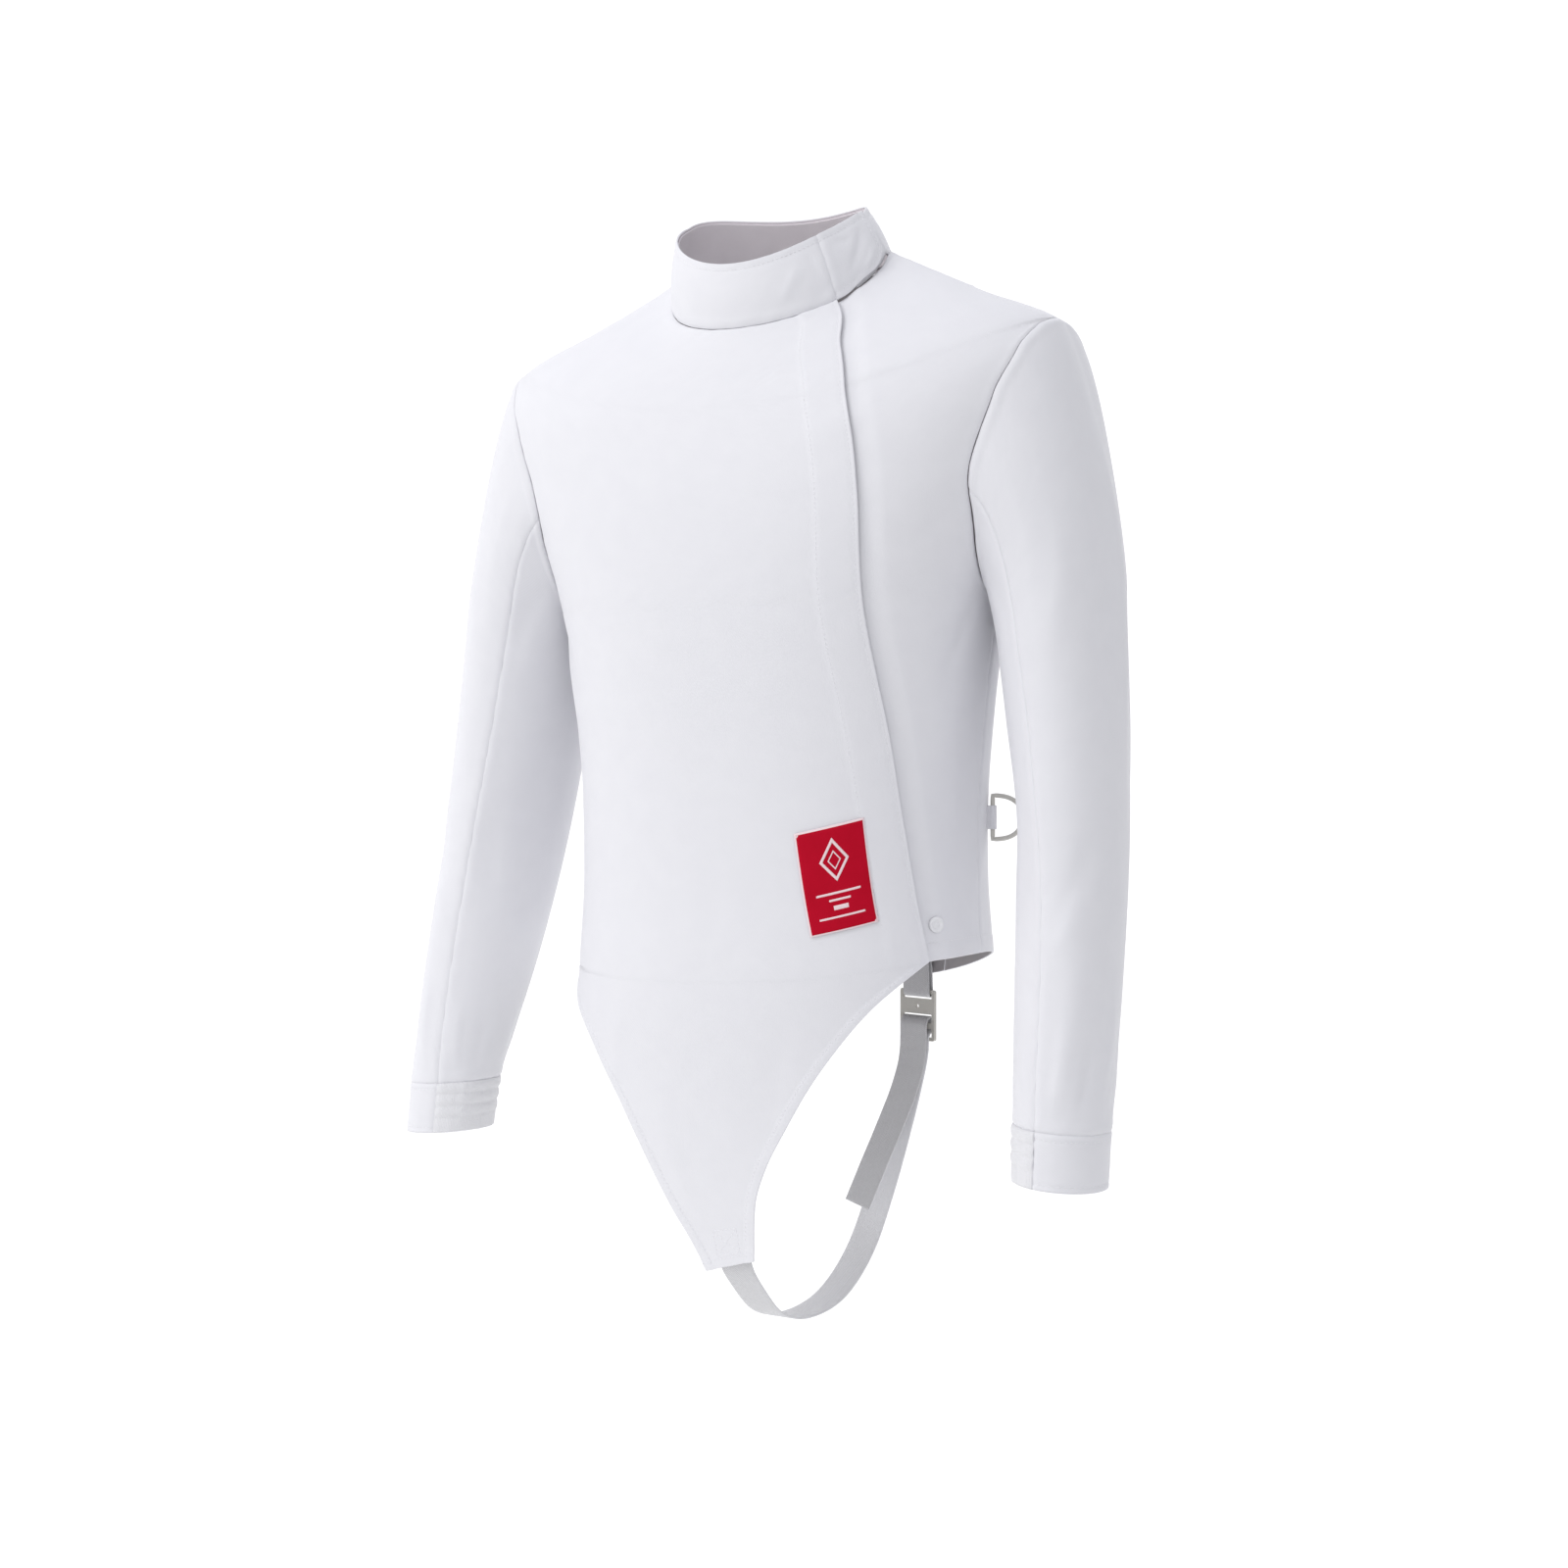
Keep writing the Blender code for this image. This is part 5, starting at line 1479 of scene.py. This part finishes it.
def build_webbing():
    item, length = ribbon("strap_webbing", strap_centre(), STRAP_WIDTH, 1.6,
                          np.array([1.0, 0, 0]), buckle_across(), MATERIALS["webbing"],
                          MATERIALS["webbing_face"])
    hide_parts("crotch_strap")
    points = [at_buckle(0, depth, height) for depth, height in LOOP_PATH]
    wide = buckle_across()
    item, length = ribbon("buckle_webbing", curve_points(points, 120), STRAP_WIDTH, 1.2, wide, wide,
                          MATERIALS["webbing"], MATERIALS["webbing"])
    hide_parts("buckle_loop")


def rounded_rectangle(low_x, high_x, low_z, high_z, radius, steps=6):
    points = []
    for x, z, start in ((high_x - radius, high_z - radius, 0), (low_x + radius, high_z - radius, 90),
                        (low_x + radius, low_z + radius, 180), (high_x - radius, low_z + radius, 270)):
        for k in range(steps + 1):
            a = math.radians(start + 90 * k / steps)
            points.append((x + radius * math.cos(a), z + radius * math.sin(a)))
    return points


def plate(name, outline, holes, low, high, material, bevel=0.35):
    """Flat moulded plate in the buckle's frame with softened edges."""
    mesh = bpy.data.meshes.new(name)
    work = bmesh.new()
    loops = []
    for loop in [outline] + holes:
        verts = [work.verts.new((x * MM, low * MM, z * MM)) for x, z in loop]
        loops += [work.edges.new((verts[k], verts[(k + 1) % len(verts)])) for k in range(len(verts))]
    bmesh.ops.triangle_fill(work, edges=loops, use_beauty=True)
    bmesh.ops.dissolve_limit(work, angle_limit=0.01, verts=work.verts, edges=work.edges)
    flat = bmesh.ops.extrude_face_region(work, geom=list(work.faces))
    moved = [e for e in flat["geom"] if isinstance(e, bmesh.types.BMVert)]
    bmesh.ops.translate(work, verts=moved, vec=(0, (high - low) * MM, 0))
    bmesh.ops.recalc_face_normals(work, faces=work.faces)
    for vertex in work.verts:
        vertex.co = Vector(at_buckle(*(vertex.co / MM)))
    bmesh.ops.recalc_face_normals(work, faces=work.faces)
    work.to_mesh(mesh)
    work.free()
    mesh.materials.append(material)
    item = bpy.data.objects.new(name, mesh)
    bpy.context.scene.collection.objects.link(item)
    soften = item.modifiers.new("soft_edges", "BEVEL")
    soften.width = bevel * MM
    soften.segments = 3
    soften.limit_method = "ANGLE"
    soften.angle_limit = math.radians(50)
    mesh.polygons.foreach_set("use_smooth", [False] * len(mesh.polygons))
    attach(item, JACKET)
    return item


def circle(x, z, radius, sides):
    return [(x + radius * math.cos(2 * math.pi * k / sides),
             z + radius * math.sin(2 * math.pi * k / sides)) for k in range(sides)]


def rectangle(low_x, high_x, low_z, high_z):
    return rounded_rectangle(low_x, high_x, low_z, high_z, 0.6, 3)


def build_buckle():
    plastic = MATERIALS["plastic"]
    outline = rounded_rectangle(-19, 19, -20.5, 22, 2.5)
    holes = [
        rectangle(-15.8, 15.8, -17.5, -10.2),
        rectangle(-15.8, 15.8, -5.4, 1.6),
        rectangle(-15.8, 15.8, 14.4, 18.8),
        circle(0, 8.0, 1.7, 24),
    ]
    body = plate("buckle_body", outline, holes, -1.3, 1.3, plastic)
    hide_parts("buckle")
    for number, (low_x, high_x) in enumerate(((-18.6, -16.4), (16.4, 18.6))):
        plate("buckle_rail_%d" % number, rounded_rectangle(low_x, high_x, -20, 21.5, 0.9, 4), [],
              0.9, 2.0, plastic, 0.4)
    plate("buckle_rim_low", rounded_rectangle(-16.2, 16.2, -20.3, -17.9, 0.8, 4), [], 0.9, 2.1,
          plastic, 0.4)
    for number, x in enumerate((-12.5, -8.5, 8.5, 12.5)):
        plate("buckle_rib_%d" % number, rounded_rectangle(x - 0.5, x + 0.5, 3.6, 12.4, 0.4, 3), [],
              1.0, 1.9, plastic, 0.2)


# Ring

D_RING_WIRE = 1.8
D_RING_HALF = 17.0
D_RING_REACH = 24.0
D_RING_ANGLE = 100.0
D_RING_LEVEL = 5.45
D_RING_BORE = D_RING_WIRE + 0.35
D_RING_WALL = 1.4
D_RING_STAND = 1.2


def d_ring_centre():
    angle, level = np.array(D_RING_ANGLE), np.array(D_RING_LEVEL)
    normal = torso_normal(angle, level)
    normal[2] = 0.0
    normal = unit(normal)
    low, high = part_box("d_ring_loop")
    out = (D_RING_BORE + D_RING_WALL + D_RING_STAND) * MM
    broad = 0.0
    for centre, at_level, spread, reach, lean, height in BROAD_FOLDS:
        off = wrap(D_RING_ANGLE - centre - lean * (D_RING_LEVEL - at_level))
        broad += height * math.exp(-(off / spread) ** 2 - ((D_RING_LEVEL - at_level) / reach) ** 2)
    point = torso_base(angle, level) + torso_normal(angle, level) * broad * MM
    return point + normal * out, normal


def build_d_ring():
    """Smooth closed D of round wire."""
    points = [np.array([0.0, 0.0, -D_RING_HALF + 2 * D_RING_HALF * k / 12]) for k in range(12)]
    curve = 48
    for k in range(curve):
        a = math.pi / 2 - math.pi * k / curve
        x = D_RING_REACH * abs(math.cos(a)) ** 0.8
        z = D_RING_HALF * math.copysign(abs(math.sin(a)) ** 0.8, math.sin(a))
        points.append(np.array([0.0 if k == 0 else x, 0.0, z]))
    points = np.array(points)
    middle, _ = d_ring_centre()
    sides = 20
    vertices, faces = [], []
    count = len(points)
    for index in range(count):
        along = unit(points[(index + 1) % count] - points[index - 1])
        thin = np.array([0.0, 1.0, 0.0])
        wide = np.cross(along, thin)
        for k in range(sides):
            a = 2 * math.pi * k / sides
            flat = wide * math.cos(a) + thin * math.sin(a)
            vertices.append(middle + (points[index] + flat * D_RING_WIRE) * MM)
    for index in range(count):
        a, b = index * sides, ((index + 1) % count) * sides
        for k in range(sides):
            j = (k + 1) % sides
            faces.append((a + k, a + j, b + j, b + k))
    item = make_mesh("ring_body", vertices, faces, materials=(MATERIALS["plastic"],))
    work = bmesh.new()
    work.from_mesh(item.data)
    bmesh.ops.recalc_face_normals(work, faces=work.faces)
    work.to_mesh(item.data)
    work.free()
    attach(item, "ring")
    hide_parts("d_ring")


def build_ring_loop():
    """Folded cloth strap round the bar of the ring, sewn to the side of the body."""
    middle, normal = d_ring_centre()
    side = np.array([-normal[1], normal[0], 0.0])
    outer = D_RING_BORE + 0.9
    path = [(-4.6, -4.4)]
    path += [(outer * math.cos(a), outer * math.sin(a))
             for a in np.radians(np.linspace(-125, 125, 40))]
    path += [(-4.6, 4.4)]
    rows = np.linspace(-9, 9, 20)
    grid = np.array([[middle + (normal * u + side * v + np.array([0, 0, z])) * MM for u, v in path]
                     for z in rows])
    item = shell("ring_loop_cloth", grid, 0.8 * MM, MATERIALS["cloth"], MATERIALS["cloth"])
    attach(item, JACKET)
    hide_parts("d_ring_loop")
    declare_sheet(grid)


# Sewing

def build_sewing():
    front = 0.30
    stitches("stitch_closing", [edge_path("front", "right", 32.0, 0.33, 0.97),
                                edge_path("front", "right", 3.2, 0.33, 0.99)])
    stitches("stitch_tongue", [edge_path("front", "left", 8.0, 0.02, front),
                               edge_path("front", "right", 8.0, 0.02, front),
                               edge_path("front", "low", 7.0)])
    stitches("stitch_hem", [edge_path("under_front", "low", 13.0), edge_path("back", "low", 13.0),
                            edge_path("back_side_left", "low", 13.0),
                            edge_path("back_side_right", "low", 13.0)])
    stitches("stitch_princess", [edge_path("back_side_left", "right", 5.0, 0.0, 0.94),
                                 edge_path("back_side_right", "left", 5.0, 0.0, 0.94)])
    stitches("stitch_tab_box", crossed_box("front", -2.0, 11.0, 9.5, 31.0))
    stitches("stitch_hem_box", crossed_box("back", 70.0, 12.0, 17.0, 40.0))
    stitches("stitch_collar", [edge_path("collar", "high", 5.0), edge_path("tab", "high", 5.0),
                               edge_path("tab", "low", 5.0), edge_path("tab", "right", 5.0)])
    stitches("stitch_cuffs", [edge_path("cuff_cloth_" + tag, side, offset)
                              for tag in ("left", "right")
                              for side, offset in (("high", 5.0), ("low", 4.0))])


# Stage, lights and camera

CAMERA_YAW = math.radians(27.0)
CAMERA_DISTANCE = 1.66
CAMERA_HEIGHT = -0.42
FOCAL_PIXELS = 2100.0
PHOTO_PIXELS = 1600.0
FLOOR_Z = -1.02


def build_camera():
    data = bpy.data.cameras.new("camera")
    data.sensor_width = 36.0
    data.sensor_height = 36.0
    data.lens = FOCAL_PIXELS / PHOTO_PIXELS * data.sensor_width
    camera = bpy.data.objects.new("camera", data)
    camera.location = (CAMERA_DISTANCE * math.sin(CAMERA_YAW),
                       -CAMERA_DISTANCE * math.cos(CAMERA_YAW), CAMERA_HEIGHT)
    camera.rotation_euler = (math.pi / 2, 0.0, CAMERA_YAW)
    bpy.context.scene.collection.objects.link(camera)
    bpy.context.scene.camera = camera


STAGE_GLOW = 0.80
STAGE_DIM = 0.46


def clamp_node(tree, value):
    """A value held between 0 and 1 with soft ends."""
    node = tree.nodes.new("ShaderNodeMapRange")
    node.interpolation_type = "SMOOTHSTEP"
    tree.links.new(value, node.inputs["Value"])
    return node.outputs["Result"]


def build_stage():
    """Pale floor that turns up into a wall and glows as a light; the glow is painted dimmer to one side
    and in front of the camera, which shades that side of the jacket.
    """
    material, tree, shader = new_material("studio_paper_glowing_light")
    place = tree.nodes.new("ShaderNodeTexCoord").outputs["Object"]
    cloud = noise(tree, place, 1.5, 2.0)
    tree.links.new(mix_colour(tree, cloud, (0.30, 0.30, 0.31), (0.32, 0.32, 0.32)),
                   shader.inputs["Base Color"])
    shader.inputs["Roughness"].default_value = 0.9
    shader.inputs["Emission Color"].default_value = (1, 1, 1, 1)
    split = tree.nodes.new("ShaderNodeSeparateXYZ")
    tree.links.new(place, split.inputs[0])
    x, y, z = (split.outputs[name] for name in ("X", "Y", "Z"))

    def blend(first, first_share, second, second_share, offset):
        total = math_node(tree, "ADD", math_node(tree, "MULTIPLY", first, first_share),
                          math_node(tree, "MULTIPLY", second, second_share))
        return math_node(tree, "ADD", total, offset)

    # Painted light: the backdrop's glow is dimmed to the camera's right and low in front, so less light
    # reaches that side of the jacket.
    across = blend(x, math.cos(CAMERA_YAW), y, math.sin(CAMERA_YAW), 0.0)
    away = blend(x, -math.sin(CAMERA_YAW), y, math.cos(CAMERA_YAW), CAMERA_DISTANCE)
    beside = clamp_node(tree, blend(across, 1.25, away, -0.56, -0.25))
    ahead = clamp_node(tree, blend(away, -1.6, away, 0.0, 2.25))
    below = clamp_node(tree, blend(z, -2.0, z, 0.0, -0.4))
    dim = math_node(tree, "MAXIMUM", beside, math_node(tree, "MULTIPLY", ahead, below))
    glow = math_node(tree, "ADD", math_node(tree, "MULTIPLY", dim, -STAGE_DIM), STAGE_GLOW)
    tree.links.new(glow, shader.inputs["Emission Strength"])
    profile = [(0.0, 0.0), (2.0, 0.0), (3.0, 0.0)]
    profile += [(3.0 + 1.5 * math.sin(a), 1.5 - 1.5 * math.cos(a))
                for a in np.radians(np.linspace(8, 90, 16))]
    profile += [(4.5, 5.0)]
    sides = 96
    vertices = [(0.0, 0.0, FLOOR_Z)]
    faces = []
    for radius, height in profile[1:]:
        for k in range(sides):
            a = 2 * math.pi * k / sides
            vertices.append((radius * math.cos(a), radius * math.sin(a), FLOOR_Z + height))
    for k in range(sides):
        j = (k + 1) % sides
        faces.append((0, 1 + k, 1 + j))
        for ring in range(len(profile) - 2):
            low = 1 + ring * sides
            faces.append((low + k, low + sides + k, low + sides + j, low + j))
    floor = make_mesh("floor", vertices, faces, materials=(material,))


def add_area(name, place, target, size, power, colour):
    data = bpy.data.lights.new(name, "AREA")
    data.shape = "DISK"
    data.size = size
    data.energy = power
    data.color = colour
    lamp = bpy.data.objects.new(name, data)
    lamp.location = place
    lamp.rotation_euler = (Vector(target) - Vector(place)).to_track_quat("-Z", "Y").to_euler()
    bpy.context.scene.collection.objects.link(lamp)


def build_lights():
    world = bpy.data.worlds.new("studio")
    bpy.context.scene.world = world
    world.use_nodes = True
    background = world.node_tree.nodes["Background"]
    background.inputs["Color"].default_value = (0.93, 0.94, 1.0, 1.0)
    background.inputs["Strength"].default_value = 0.9
    target = (0.0, 0.0, -0.40)
    add_area("key", (-1.5, -2.0, 1.9), target, 1.6, 30, (1.0, 0.99, 0.98))
    add_area("fill", (1.9, -1.6, 0.2), target, 2.2, 3.4, (0.95, 0.96, 1.0))
    add_area("back_light", (0.6, 2.2, 1.2), target, 1.8, 5, (0.98, 0.99, 1.0))
    bpy.context.scene.view_settings.view_transform = "Standard"


build_camera()
build_front()
build_under_front()
build_back()
build_back_side(1, "left")
build_back_side(-1, "right")
build_sleeves()
build_collar()
build_label()
build_button()
build_webbing()
build_buckle()
build_d_ring()
build_ring_loop()
build_sewing()
build_stage()
build_lights()

bpy.context.view_layer.update()
